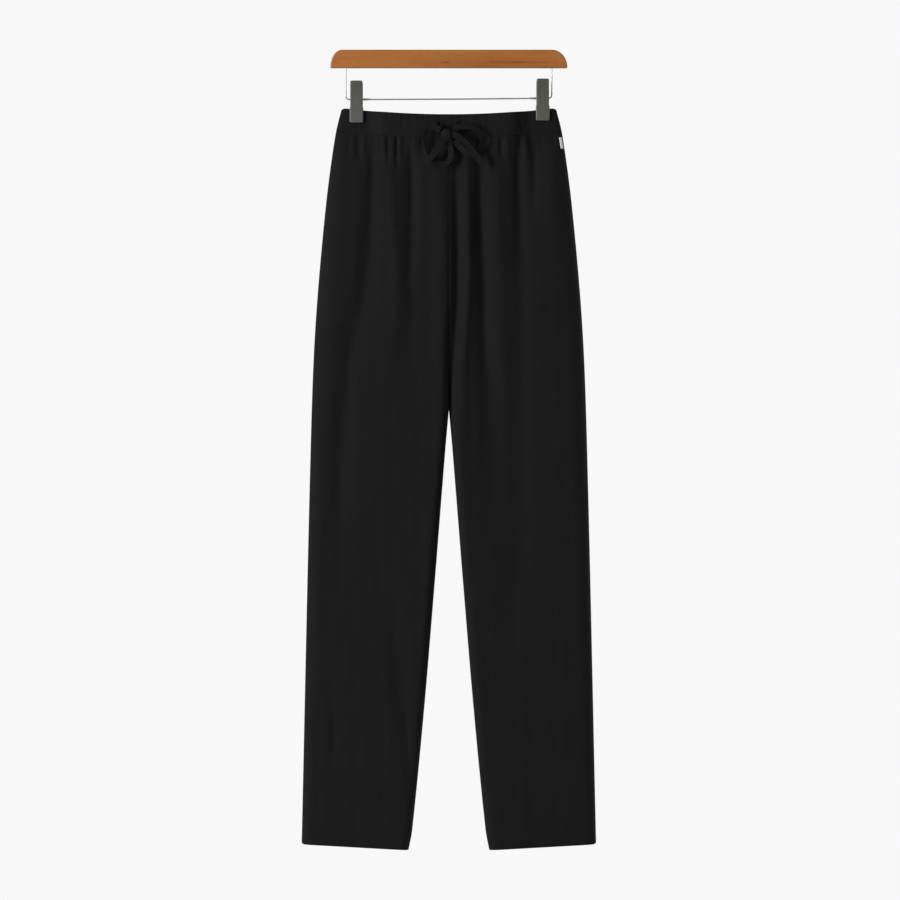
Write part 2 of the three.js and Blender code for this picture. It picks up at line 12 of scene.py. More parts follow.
import bmesh
import bpy
import numpy as np
from mathutils import Matrix, Vector


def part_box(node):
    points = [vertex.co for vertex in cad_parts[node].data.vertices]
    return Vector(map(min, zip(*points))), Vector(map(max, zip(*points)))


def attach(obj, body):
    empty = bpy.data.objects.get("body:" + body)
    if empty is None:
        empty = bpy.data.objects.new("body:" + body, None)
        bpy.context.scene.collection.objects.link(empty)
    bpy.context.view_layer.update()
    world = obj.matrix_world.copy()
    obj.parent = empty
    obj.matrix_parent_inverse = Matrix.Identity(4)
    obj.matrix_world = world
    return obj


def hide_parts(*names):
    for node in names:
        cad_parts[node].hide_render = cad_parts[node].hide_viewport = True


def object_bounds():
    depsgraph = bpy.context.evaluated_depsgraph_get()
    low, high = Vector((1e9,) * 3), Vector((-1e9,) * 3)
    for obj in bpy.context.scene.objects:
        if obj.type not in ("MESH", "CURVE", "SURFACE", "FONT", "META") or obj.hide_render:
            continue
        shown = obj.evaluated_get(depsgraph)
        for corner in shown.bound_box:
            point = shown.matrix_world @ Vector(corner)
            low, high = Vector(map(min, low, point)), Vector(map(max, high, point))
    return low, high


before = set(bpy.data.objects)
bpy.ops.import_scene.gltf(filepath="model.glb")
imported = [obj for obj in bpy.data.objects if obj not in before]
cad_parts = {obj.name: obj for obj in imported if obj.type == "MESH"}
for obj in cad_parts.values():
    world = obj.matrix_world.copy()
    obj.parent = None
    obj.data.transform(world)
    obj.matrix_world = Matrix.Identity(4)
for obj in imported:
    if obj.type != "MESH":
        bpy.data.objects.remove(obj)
cad_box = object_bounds()
BODY = "root"
MM = 0.001
print("CAD box", [tuple(round(c, 4) for c in corner) for corner in cad_box])

# %% [markdown]
# ## Camera
# A garment on a hanger is pictured straight on, from far away, so its sides stay parallel. A long lens six
# metres off does that. It looks along +Y at the middle of the hanging length, and it comes first, because
# the free ends of the tape are measured against what it sees.

# %% Camera
VIEW_WIDTH = 1.215
CAMERA_DISTANCE = 6.0
SENSOR_WIDTH = 36.0
middle_z = (cad_box[0][2] + cad_box[1][2]) / 2
camera_data = bpy.data.cameras.new("camera")
camera_data.sensor_width = SENSOR_WIDTH
camera_data.lens = SENSOR_WIDTH * CAMERA_DISTANCE / VIEW_WIDTH
camera = bpy.data.objects.new("camera", camera_data)
camera.location = (0.0015, -CAMERA_DISTANCE, middle_z - 0.0005)
camera.rotation_euler = (math.pi / 2, 0, 0)
bpy.context.scene.collection.objects.link(camera)
bpy.context.scene.camera = camera
print("camera", tuple(round(c, 4) for c in camera.location), "lens", round(camera_data.lens, 1))

# %% [markdown]
# ## Small helpers
# `through` runs a smooth curve through given rows, and is how widths, depths and fold lines are read
# at any height. `add_mesh` puts a finished mesh at the origin, smooth, with its material and body.

# %% Helpers
def through(rows, t, column=1):
    """A smooth curve through rows [t, value, ...] whose t falls, read at t and level past both ends."""
    keys = np.array([row[0] for row in rows[::-1]], float)
    values = np.array([row[column] for row in rows[::-1]], float)
    secants = np.diff(values) / np.diff(keys)
    slopes = np.concatenate([secants[:1], (values[2:] - values[:-2]) / (keys[2:] - keys[:-2]),
                             secants[-1:]])
    t = np.clip(np.asarray(t, float), keys[0], keys[-1])
    i = np.clip(np.searchsorted(keys, t, side="right") - 1, 0, len(keys) - 2)
    span = keys[i + 1] - keys[i]
    u = (t - keys[i]) / span
    return ((2 * u**3 - 3 * u**2 + 1) * values[i] + (u**3 - 2 * u**2 + u) * span * slopes[i]
            + (3 * u**2 - 2 * u**3) * values[i + 1] + (u**3 - u**2) * span * slopes[i + 1])


def lerp(a, b, share):
    return a + (b - a) * share


def soft(low, high, value):
    """0 below low, 1 above high, and smooth between."""
    share = np.clip((value - low) / (high - low), 0, 1)
    return share * share * (3 - 2 * share)


def add_mesh(name, points, faces, material, uv=None):
    """A smooth mesh piece at the origin that rides on the body. uv gives each point's cloth coordinates."""
    mesh = bpy.data.meshes.new(name)
    mesh.from_pydata([tuple(p) for p in points], [], [tuple(f) for f in faces])
    mesh.polygons.foreach_set("use_smooth", [True] * len(mesh.polygons))
    if uv is not None:
        corners = np.empty(len(mesh.loops), np.int32)
        mesh.loops.foreach_get("vertex_index", corners)
        layer = mesh.uv_layers.new(name="cloth")
        layer.data.foreach_set("uv", np.asarray(uv, np.float32)[corners].ravel())
    mesh.materials.append(material)
    mesh.update()
    return place(bpy.data.objects.new(name, mesh))


def place(piece):
    if piece.name not in bpy.context.scene.collection.objects:
        bpy.context.scene.collection.objects.link(piece)
    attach(piece, BODY)
    return piece


def point_outwards(piece):
    """Merges doubles and turns every face outwards."""
    shape = bmesh.new()
    shape.from_mesh(piece.data)
    bmesh.ops.remove_doubles(shape, verts=shape.verts, dist=1e-6)
    bmesh.ops.recalc_face_normals(shape, faces=shape.faces)
    shape.to_mesh(piece.data)
    shape.free()
    return piece


def baked(piece):
    """The piece with its modifiers turned into plain mesh."""
    graph = bpy.context.evaluated_depsgraph_get()
    mesh = bpy.data.meshes.new_from_object(piece.evaluated_get(graph))
    piece.modifiers.clear()
    piece.data = mesh
    mesh.polygons.foreach_set("use_smooth", [True] * len(mesh.polygons))
    return piece


print("helpers ready")

# %% [markdown]
# ## Shared shader groups
# Cloth, tape and label are all woven, and wood, metal and rubber all vary a little over their surface.
# Each of those effects is one node group, built once and used with its own numbers. A group puts out only
# heights and masks: the shader itself stays in the material.

# %% Node helpers
def new_group(name, inputs, outputs):
    """An empty shader node group with named float inputs (and a Vector where the default is None)."""
    group = bpy.data.node_groups.new(name, "ShaderNodeTree")
    for label, default in inputs.items():
        kind = "NodeSocketVector" if default is None else "NodeSocketFloat"
        socket = group.interface.new_socket(label, in_out="INPUT", socket_type=kind)
        if default is not None:
            socket.default_value = default
    for label in outputs:
        group.interface.new_socket(label, in_out="OUTPUT", socket_type="NodeSocketFloat")
    return group, group.nodes.new("NodeGroupInput"), group.nodes.new("NodeGroupOutput")


def feed(tree, socket, value):
    """Links a socket to another, or sets its value."""
    if isinstance(value, bpy.types.NodeSocket):
        tree.links.new(value, socket)
    else:
        socket.default_value = value


def math_node(tree, operation, a, b=0.0, c=0.0):
    node = tree.nodes.new("ShaderNodeMath")
    node.operation = operation
    for socket, value in zip(node.inputs, (a, b, c)):
        feed(tree, socket, value)
    return node.outputs[0]


def noise_node(tree, vector, scale, detail=3.0, roughness=0.5):
    node = tree.nodes.new("ShaderNodeTexNoise")
    feed(tree, node.inputs["Vector"], vector)
    feed(tree, node.inputs["Scale"], scale)
    node.inputs["Detail"].default_value = detail
    node.inputs["Roughness"].default_value = roughness
    return node.outputs["Fac"]


def ramp_node(tree, value, stops):
    """A colour ramp through stops (position, (r, g, b))."""
    node = tree.nodes.new("ShaderNodeValToRGB")
    feed(tree, node.inputs["Fac"], value)
    while len(node.color_ramp.elements) < len(stops):
        node.color_ramp.elements.new(0.5)
    for element, (position, colour) in zip(node.color_ramp.elements, stops):
        element.position = position
        element.color = (*colour, 1)
    return node.outputs["Color"]


def stretch_node(tree, vector, scale):
    node = tree.nodes.new("ShaderNodeMapping")
    feed(tree, node.inputs["Vector"], vector)
    node.inputs["Scale"].default_value = scale
    return node.outputs["Vector"]


def new_material(name):
    """A node material: its tree, its Principled shader, and object coordinates."""
    material = bpy.data.materials.new(name)
    material.use_nodes = True
    tree = material.node_tree
    shader = tree.nodes["Principled BSDF"]
    coordinates = tree.nodes.new("ShaderNodeTexCoord")
    return material, tree, shader, coordinates


def use_group(tree, group, **values):
    node = tree.nodes.new("ShaderNodeGroup")
    node.node_tree = group
    for label, value in values.items():
        feed(tree, node.inputs[label.replace("_", " ")], value)
    return node


def bump_node(tree, shader, height, distance, strength=1.0):
    node = tree.nodes.new("ShaderNodeBump")
    feed(tree, node.inputs["Height"], height)
    node.inputs["Distance"].default_value = distance
    node.inputs["Strength"].default_value = strength
    tree.links.new(node.outputs["Normal"], shader.inputs["Normal"])
    return node


print("node helpers ready")

# %% [markdown]
# Woven cloth is warp threads crossing weft threads. The weave could be an image, but two sine waves and a
# checker of which one lies on top give the same relief at any scale. Thread thickness wanders a little,
# which keeps a plain black cloth from looking like plastic.

# %% Weave group
weave_group, weave_in, weave_out = new_group("weave", {"Vector": None, "Threads": 2200.0, "Slub": 0.35},
                                             ["Height", "Fleck"])


def build_weave():
    tree = weave_group
    split = tree.nodes.new("ShaderNodeSeparateXYZ")
    tree.links.new(weave_in.outputs["Vector"], split.inputs[0])
    waves = []
    for axis in (0, 1):
        turns = math_node(tree, "MULTIPLY", split.outputs[axis], weave_in.outputs["Threads"])
        waves.append(math_node(tree, "SINE", math_node(tree, "MULTIPLY", turns, math.pi)))
    over = math_node(tree, "GREATER_THAN", math_node(tree, "MULTIPLY", waves[0], waves[1]), 0.0)
    warp = math_node(tree, "ABSOLUTE", waves[0])
    weft = math_node(tree, "ABSOLUTE", waves[1])
    mixed = math_node(tree, "ADD", math_node(tree, "MULTIPLY", warp, over),
                      math_node(tree, "MULTIPLY", weft, math_node(tree, "SUBTRACT", 1.0, over)))
    long_noise = noise_node(tree, stretch_node(tree, weave_in.outputs["Vector"], (900, 90, 1)), 1.0, 2.0)
    cross_noise = noise_node(tree, stretch_node(tree, weave_in.outputs["Vector"], (90, 900, 1)), 1.0, 2.0)
    fleck = math_node(tree, "MULTIPLY", math_node(tree, "ADD", long_noise, cross_noise), 0.5)
    height = math_node(tree, "ADD", mixed, math_node(tree, "MULTIPLY", fleck, weave_in.outputs["Slub"]))
    tree.links.new(height, weave_out.inputs["Height"])
    tree.links.new(fleck, weave_out.inputs["Fleck"])


build_weave()
print("weave group", len(weave_group.nodes), "nodes")

# %% [markdown]
# Wear and handling leave broad, faint unevenness on every finish. One group mixes a wide and a fine noise
# into a mask, and each material decides what the mask does: lift dust on cloth, dull a varnish, scuff a
# lacquer.

# %% Wear group
wear_group, wear_in, wear_out = new_group("wear", {"Vector": None, "Wide": 12.0, "Fine": 220.0}, ["Mask"])


def build_wear():
    tree = wear_group
    wide = noise_node(tree, wear_in.outputs["Vector"], wear_in.outputs["Wide"], 2.0)
    fine = noise_node(tree, wear_in.outputs["Vector"], wear_in.outputs["Fine"], 4.0)
    mixed = math_node(tree, "ADD", math_node(tree, "MULTIPLY", wide, 0.65),
                      math_node(tree, "MULTIPLY", fine, 0.35))
    tree.links.new(mixed, wear_out.inputs["Mask"])


build_wear()
print("wear group", len(wear_group.nodes), "nodes")

# %% [markdown]
# ## Materials of the cloth, tape and label
# The cloth is a fine matte black weave with a very slight blue cast. Its weave follows the cloth's own
# coordinates in metres, so it turns with every fold. A little sheen stands for the fibres that catch the
# light where the cloth curves away.

# %% Woven materials
def woven_material(name, dark, light, threads, roughness, sheen, relief=0.00012):
    material, tree, shader, coordinates = new_material(name)
    weave = use_group(tree, weave_group, Vector=coordinates.outputs["UV"], Threads=threads)
    wear = use_group(tree, wear_group, Vector=coordinates.outputs["Object"])
    tone = math_node(tree, "ADD", math_node(tree, "MULTIPLY", weave.outputs["Fleck"], 0.5),
                     math_node(tree, "MULTIPLY", wear.outputs["Mask"], 0.5))
    tree.links.new(ramp_node(tree, tone, [(0.3, dark), (0.7, light)]), shader.inputs["Base Color"])
    tree.links.new(math_node(tree, "MULTIPLY_ADD", wear.outputs["Mask"], 0.12, roughness - 0.06),
                   shader.inputs["Roughness"])
    shader.inputs["Sheen Weight"].default_value = sheen
    shader.inputs["Sheen Roughness"].default_value = 0.45
    shader.inputs["Specular IOR Level"].default_value = 0.12
    bump_node(tree, shader, weave.outputs["Height"], relief, 0.5)
    return material


cloth_material = woven_material("black cloth", (0.0058, 0.0057, 0.0064), (0.0086, 0.0084, 0.0094), 2200,
                                0.9, 0.02)
tape_material = woven_material("black tape", (0.0058, 0.0058, 0.0064), (0.0086, 0.0085, 0.0094), 1500,
                               0.9, 0.03,
                               0.0002)
thread_material = woven_material("black thread", (0.0066, 0.0065, 0.0073), (0.011, 0.0108, 0.012), 5000,
                                 0.75, 0.03)
label_material = woven_material("white label", (0.74, 0.74, 0.735), (0.84, 0.84, 0.835), 4000, 0.5, 0.1)
print("woven materials:", cloth_material.name, tape_material.name, thread_material.name,
      label_material.name)

# %% [markdown]
# ## Materials of the hanger
# The bar is lacquered wood with fine straight grain along its length, the wire and springs are plain drawn
# steel, the clips are steel with a satin grey lacquer, and the jaws are lined with dark rubber.

# %% Hanger materials
# Height of the middle of the clips, about which painted light makes their lacquer lighter downwards, for how
# the light falls on them
CLIP_MIDDLE = -0.068
# Short dark flecks in the bar's grain: middle (x, z) and half size (x, z), in metres
GRAIN_FLECKS = [((-0.004, -0.0172), (0.0075, 0.0007)), ((0.093, -0.017), (0.0085, 0.0006))]


def fleck_mask(tree, place_on, middle, half):
    """1 in the middle of a long thin fleck on the bar's face, falling to 0 at its edge."""
    split = tree.nodes.new("ShaderNodeSeparateXYZ")
    tree.links.new(place_on, split.inputs[0])
    squares = []
    for axis, centre, reach in ((0, middle[0], half[0]), (2, middle[1], half[1])):
        away = math_node(tree, "MULTIPLY", math_node(tree, "SUBTRACT", split.outputs[axis], centre),
                         1 / reach)
        squares.append(math_node(tree, "MULTIPLY", away, away))
    inside = math_node(tree, "SUBTRACT", 1.0, math_node(tree, "ADD", squares[0], squares[1]))
    return math_node(tree, "MAXIMUM", inside, 0.0)


def wood_material():
    material, tree, shader, coordinates = new_material("lacquered wood")
    place_on = coordinates.outputs["Object"]
    wear = use_group(tree, wear_group, Vector=place_on, Wide=9.0, Fine=150.0)
    grain = noise_node(tree, stretch_node(tree, place_on, (5, 160, 420)), 1.0, 5.0, 0.6)
    bands = noise_node(tree, stretch_node(tree, place_on, (4, 30, 60)), 1.0, 2.0)
    pores = noise_node(tree, stretch_node(tree, place_on, (32, 900, 1500)), 1.0, 2.0)
    tone = math_node(tree, "MULTIPLY_ADD", grain, 0.32, math_node(tree, "MULTIPLY_ADD", bands, 0.45,
                     math_node(tree, "MULTIPLY", wear.outputs["Mask"], 0.28)))
    for middle, half in GRAIN_FLECKS:
        mark = fleck_mask(tree, place_on, middle, half)
        tone = math_node(tree, "SUBTRACT", tone, math_node(tree, "MULTIPLY", mark, 0.4))
    colour = ramp_node(tree, tone, [(0.12, (0.08, 0.02, 0.004)), (0.38, (0.245, 0.07, 0.0095)),
                                    (0.52, (0.345, 0.113, 0.0172)),
                                    (0.68, (0.42, 0.154, 0.028))])
    tree.links.new(colour, shader.inputs["Base Color"])
    tree.links.new(math_node(tree, "MULTIPLY_ADD", wear.outputs["Mask"], 0.3, 0.32),
                   shader.inputs["Roughness"])
    shader.inputs["Coat Weight"].default_value = 0.25
    shader.inputs["Coat Roughness"].default_value = 0.25
    bump_node(tree, shader, math_node(tree, "ADD", pores, grain), 0.00012, 0.35)
    return material


def metal_material(name, dark, light, roughness, metallic, brush, fall=0.0):
    """Metal, finely brushed along the axis that brush stretches least. fall paints light on it: its colour
    gets lighter downwards.
    """
    material, tree, shader, coordinates = new_material(name)
    place_on = coordinates.outputs["Object"]
    wear = use_group(tree, wear_group, Vector=place_on, Wide=60.0, Fine=900.0)
    lines = noise_node(tree, stretch_node(tree, place_on, brush), 1.0, 3.0)
    tone = math_node(tree, "MULTIPLY_ADD", lines, 0.5,
                     math_node(tree, "MULTIPLY", wear.outputs["Mask"], 0.5))
    tone_with_painted_light = tone
    # Painted light: below the clips' middle the colour is lifted, for how the light falls on their lower
    # part.
    if fall:
        split = tree.nodes.new("ShaderNodeSeparateXYZ")
        tree.links.new(place_on, split.inputs[0])
        below = math_node(tree, "SUBTRACT", CLIP_MIDDLE, split.outputs[2])
        tone_with_painted_light = math_node(tree, "ADD", tone, math_node(tree, "MULTIPLY", below, fall))
    tree.links.new(ramp_node(tree, tone_with_painted_light, [(0.3, dark), (0.7, light)]), shader.inputs["Base Color"])
    tree.links.new(math_node(tree, "MULTIPLY_ADD", tone, 0.25, roughness - 0.12),
                   shader.inputs["Roughness"])
    shader.inputs["Metallic"].default_value = metallic
    bump_node(tree, shader, lines, 0.00004, 0.3)
    return material


def rubber_material():
    material, tree, shader, coordinates = new_material("dark rubber")
    wear = use_group(tree, wear_group, Vector=coordinates.outputs["Object"], Wide=80.0, Fine=1500.0)
    tree.links.new(ramp_node(tree, wear.outputs["Mask"],
                             [(0.3, (0.02, 0.02, 0.02)), (0.7, (0.04, 0.04, 0.039))]),
                   shader.inputs["Base Color"])
    tree.links.new(math_node(tree, "MULTIPLY_ADD", wear.outputs["Mask"], 0.2, 0.6),
                   shader.inputs["Roughness"])
    bump_node(tree, shader, wear.outputs["Mask"], 0.0001, 0.4)
    return material


bar_material = wood_material()
wire_material = metal_material("drawn steel", (0.4, 0.4, 0.39), (0.54, 0.54, 0.525), 0.38, 0.8,
                               (60, 2500, 2500))
# The clips' last number, 8.0, is painted light: their lacquer is coloured lighter downwards.
clip_material = metal_material("grey lacquer", (0.072, 0.074, 0.064), (0.1, 0.102, 0.09), 0.5, 0.25,
                               (2200, 2200, 90),
                               8.0)
pad_material = rubber_material()
print("hanger materials:", bar_material.name, wire_material.name, clip_material.name, pad_material.name)

# %% [markdown]
# ## The tape's bow
# One flat tape runs through the casing, comes out of two buttonholes and is tied in a bow in front. Its
# two loops hang open and its two free ends lie across them. Each route is a short list of given points,
# in metres, and the tape is swept along the smooth curve through them. A flat tape can't bend in its own
# plane, so it is turned partly on edge round each loop.

# %% Tape sweep
TAPE_WIDTH = 0.0085
TAPE_THICK = 0.0012
SECTION_POINTS = 14


def smooth_route(points, count):
    """Evenly spaced points on a smooth curve through the given ones."""
    knots = np.array(points, float)
    padded = np.vstack([2 * knots[0] - knots[1], knots, 2 * knots[-1] - knots[-2]])
    dense = []
    for i in range(1, len(padded) - 2):
        a, b, c, d = padded[i - 1:i + 3]
        for u in np.linspace(0, 1, 24, endpoint=False):
            dense.append(0.5 * (2 * b + (c - a) * u + (2 * a - 5 * b + 4 * c - d) * u**2
                                + (3 * b - a - 3 * c + d) * u**3))
    dense = np.array(dense + [knots[-1]])
    reach = np.concatenate([[0], np.cumsum(np.linalg.norm(np.diff(dense, axis=0), axis=1))])
    even = np.linspace(0, reach[-1], count)
    return np.stack([np.interp(even, reach, dense[:, axis]) for axis in range(3)], axis=1), reach[-1]


def tape_mesh(name, route, on_edge, cup, count=90, round_end=0.0):
    """A flat tape along route. on_edge rows are (share of the length, how far it turns on edge, 0 to 1);
    cup bends its section. round_end softens the cut end."""
    line, length = smooth_route(route, count)
    tangents = np.gradient(line, axis=0)
    tangents /= np.linalg.norm(tangents, axis=1)[:, None]
    shares = np.linspace(0, 1, count)
    turn = np.interp(shares, *zip(*on_edge)) * math.pi / 2
    points = []
    uv = []
    for i in range(count):
        flat = np.cross(tangents[i], (0, 1, 0))
        flat /= np.linalg.norm(flat)
        lift = np.cross(flat, tangents[i])
        across = flat * math.cos(turn[i]) + lift * math.sin(turn[i])
        normal = np.cross(tangents[i], across)
        narrow = 1 - round_end * max(0.0, (shares[i] - 0.965) / 0.035) ** 2
        for k in range(SECTION_POINTS):
            angle = 2 * math.pi * k / SECTION_POINTS
            side = math.copysign(abs(math.cos(angle)) ** 0.5, math.cos(angle))
            up = math.copysign(abs(math.sin(angle)) ** 0.8, math.sin(angle))
            bow = cup * (side * side - 0.5) * TAPE_WIDTH
            sideways = across * side * narrow * TAPE_WIDTH / 2
            points.append(line[i] + sideways + normal * (up * TAPE_THICK / 2 + bow))
            uv.append((side * TAPE_WIDTH / 2, shares[i] * length))
    ring = SECTION_POINTS
    faces = [(i * ring + k, i * ring + (k + 1) % ring, (i + 1) * ring + (k + 1) % ring, (i + 1) * ring + k)
             for i in range(count - 1) for k in range(ring)]
    faces.append(tuple(range(ring))[::-1])
    faces.append(tuple((count - 1) * ring + k for k in range(ring)))
    piece = point_outwards(add_mesh(name, points, faces, tape_material, uv))
    print(name, "length", round(length * 1000, 1), "mm")
    return piece, line, length


# %% [markdown]
# The knot is the tape wrapped once round itself. It could be a knotted curve, but so little of it shows
# that a rounded lump with the wrap's two edges and a few creases pressed into it reads the same.

# %% Knot
KNOT_CENTRE = np.array((-0.0025, -0.0236, -0.1155))
KNOT_HALF = np.array((0.0085, 0.0052, 0.0068))


def knot_mesh():
    rings, sides = 40, 56
    points = []
    uv = []
    for i in range(rings + 1):
        polar = math.pi * i / rings
        for k in range(sides):
            around = 2 * math.pi * k / sides
            way = np.array((math.cos(polar), math.sin(polar) * math.cos(around),
                            math.sin(polar) * math.sin(around)))
            blunt = np.sign(way) * np.abs(way) ** 0.82
            x = blunt[0] + 0.12 * blunt[2]
            wrap = 0.14 * float(soft(0.62, 0.5, abs(x)) if abs(x) > 0.5 else 1.0)
            crease = 0.07 * math.exp(-((x - 0.12 - 0.25 * blunt[2]) / 0.09) ** 2)
            crease += 0.05 * math.exp(-((x + 0.28 + 0.15 * blunt[2]) / 0.07) ** 2)
            pinch = 1 - 0.2 * float(soft(0.6, 1.0, abs(x)))
            points.append(KNOT_CENTRE + KNOT_HALF * blunt * np.array((1, pinch,
                                                                      pinch)) * (0.9 + wrap - crease))
            uv.append((way[0] * KNOT_HALF[0], around * KNOT_HALF[2]))
    faces = [(i * sides + k, i * sides + (k + 1) % sides, (i + 1) * sides + (k + 1) % sides,
              (i + 1) * sides + k)
             for i in range(rings) for k in range(sides)]
    return point_outwards(add_mesh("bow_knot", points, faces, tape_material, uv))


knot = knot_mesh()
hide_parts("drawstring_knot")
print("knot", len(knot.data.polygons), "faces")

# %% Leads, loops and free ends
LEAD_LEFT = [(0.0135, -0.0128, -0.103), (0.0131, -0.0159, -0.1036), (0.0106, -0.0175, -0.1064),
             (0.0064, -0.0177, -0.1108)]
LEAD_RIGHT = [(-0.0135, -0.0128, -0.103), (-0.0133, -0.0159, -0.1036), (-0.0116, -0.0176, -0.1064),
              (-0.009, -0.0182, -0.1102)]
LOOP_RIGHT = [(-0.0113, -0.022, -0.11), (-0.019, -0.0216, -0.106), (-0.027, -0.0212, -0.107),
              (-0.032, -0.021, -0.114), (-0.031, -0.0212, -0.127), (-0.026, -0.0218, -0.141),
              (-0.017, -0.0224, -0.152), (-0.006, -0.0224, -0.1555), (0.002, -0.0222, -0.148),
              (0.0024, -0.022, -0.136), (-0.001, -0.0218, -0.1255)]
LOOP_LEFT = [(0.006, -0.022, -0.109), (0.015, -0.0216, -0.105), (0.028, -0.0212, -0.1055),
             (0.04, -0.021, -0.1105), (0.046, -0.021, -0.1205), (0.0435, -0.0214, -0.132),
             (0.035, -0.0218, -0.141), (0.0245, -0.022, -0.1405), (0.0154, -0.022, -0.1325),
             (0.0084, -0.0218, -0.1236)]
TAIL_RIGHT = [(0.0035, -0.0246, -0.1128), (-0.0086, -0.0268, -0.1222), (-0.0125, -0.0272, -0.129),
              (-0.0175, -0.027, -0.1375), (-0.0235, -0.0264, -0.146), (-0.031, -0.0256, -0.1536)]
TAIL_LEFT = [(0.0012, -0.0248, -0.1152), (0.0072, -0.0266, -0.1164), (0.014, -0.0272, -0.1196),
             (0.022, -0.0272, -0.1264), (0.031, -0.0268, -0.137), (0.0395, -0.0262, -0.1476),
             (0.0474, -0.0254, -0.157)]

lead_left, _, _ = tape_mesh("tape_lead_left", LEAD_LEFT, [(0, 0), (1, 0.2)], 0, 30)
lead_right, _, _ = tape_mesh("tape_lead_right", LEAD_RIGHT, [(0, 0), (1, 0.2)], 0, 30)
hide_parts("drawstring_lead_left")
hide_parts("drawstring_lead_right")

LOOP_TURN = [(0, 0.1), (0.15, 0.25), (0.35, 0.3), (0.55, 0.35), (0.8, 0.3), (1, 0.1)]
TAIL_TURN = [(0, 0.0), (0.3, 0.1), (1, -0.12)]
for hand, loop_route, tail_route in (("right", LOOP_RIGHT, TAIL_RIGHT), ("left", LOOP_LEFT, TAIL_LEFT)):
    loop, line, length = tape_mesh(f"bow_loop_{hand}", loop_route, LOOP_TURN, 0.05, 120)
    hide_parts(f"drawstring_loop_{hand}")
    tail, line, length = tape_mesh(f"tape_end_{hand}", tail_route, TAIL_TURN, 0.06, 70, 0.25)
    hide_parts(f"drawstring_tail_{hand}")

# %% [markdown]
# ## The shape of the cloth
# All the cloth is one flattened tube with a rounded fold down each outseam. Its shape is a few rules, in
# millimetres: how far the outseam and inseam lie from the middle, how deep the tube is, how the clips nip
# it, and where the folds run. The panels, the waistband and every stitch line read the same rules, so they
# always lie on each other.

# %% Rules of the tube
# Panels lap by a hair, so that no light comes through where they meet
GAP = -0.04
CLOTH = 1.5
HEM_CLOTH = 2.6
HEM_TURN = 27.0
BAND_CLOTH = 2.8
BAND_HEIGHT = 31.5
WAIST_HALF = 145.0
BAND_TOP_MIDDLE = -87.5
BAND_TOP_RISE = 9.0
BAND_CORNER = 6.0
CROTCH_Z = -486.0
HEM_INNER_Z = -1079.0
HEM_OUTER_Z = -1071.0
HEM_CORNER = 4.0
EDGE_POWER = 2.6
OUTSEAM = [(-78, 144.5), (-116, 153.4), (-216, 166.7), (-378, 180.5), (-540, 186.7), (-1080, 199)]
INSEAM = [(-486, 0), (-540, 4.8), (-729, 19.9), (-891, 33.5), (-1053, 49.5), (-1080, 54.5)]
DEPTH = [(-78, 13), (-119, 14.5), (-160, 17), (-260, 20), (-486, 20), (-760, 17), (-1080, 13.5)]
ROUNDING = [(-78, 11), (-116, 14), (-200, 26), (-400, 30), (-600, 23), (-1080, 19)]
SEAM_ROUNDING = [(-118, 28), (-300, 17), (-486, 11), (-600, 13), (-1080, 17)]
GROOVE_TOP = {"front": 0.06, "back": 0.1}
NIP_DEPTH = 4.1
NIP_INNER = 82.0
NIP_FULL = 113.0
NIP_BOTTOM = -99.0
NIP_FADE = 62.0


def rounded(distance, reach):
    share = np.clip(distance / reach, 0, 1)
    return (1 - (1 - share) ** EDGE_POWER) ** (1 / EDGE_POWER)


def corner_drop(x, edge, radius):
    past = np.clip((np.abs(x) - edge + radius) / radius, 0, 1)
    return radius * (1 - np.sqrt(1 - past**2)) / 2


def band_bottom(x):
    return BAND_TOP_MIDDLE - BAND_HEIGHT + BAND_TOP_RISE * (x / WAIST_HALF) ** 2


def band_top(x):
    return band_bottom(x) + BAND_HEIGHT - corner_drop(x, WAIST_HALF, BAND_CORNER)


def hem_line(x):
    inner, outer = through(INSEAM, HEM_INNER_Z), through(OUTSEAM, HEM_OUTER_Z)
    share = np.clip((np.abs(x) - inner) / (outer - inner), 0, 1)
    return lerp(HEM_INNER_Z, HEM_OUTER_Z, share) + corner_drop(x, outer, HEM_CORNER)


def half_depth(x, z):
    across = soft(NIP_INNER, NIP_FULL, np.abs(x))
    down = 1 - soft(0, NIP_FADE, NIP_BOTTOM - z)
    return lerp(through(DEPTH, z), NIP_DEPTH, across * down)


def groove_share(side, z):
    band_z = band_bottom(0)
    down = np.clip((z - band_z) / (CROTCH_Z - band_z), 0, 1)
    return lerp(GROOVE_TOP[side], 1, down**5)


print("waist", 2 * WAIST_HALF, "mm wide, hem",
      round(float(through(OUTSEAM, -1075) - through(INSEAM, -1075))), "mm")

# %% [markdown]
# ### Folds
# Elastic gathers more cloth than the waist needs, and the spare width falls in long folds that open out
# towards the knee. Each fold is a row of stations down its line: height above the waist of the bar,
# distance from the middle, how far it stands out (+) or sinks in (-), and its half width. Short gathers
# start at the waistband seam and die out within a few centimetres.

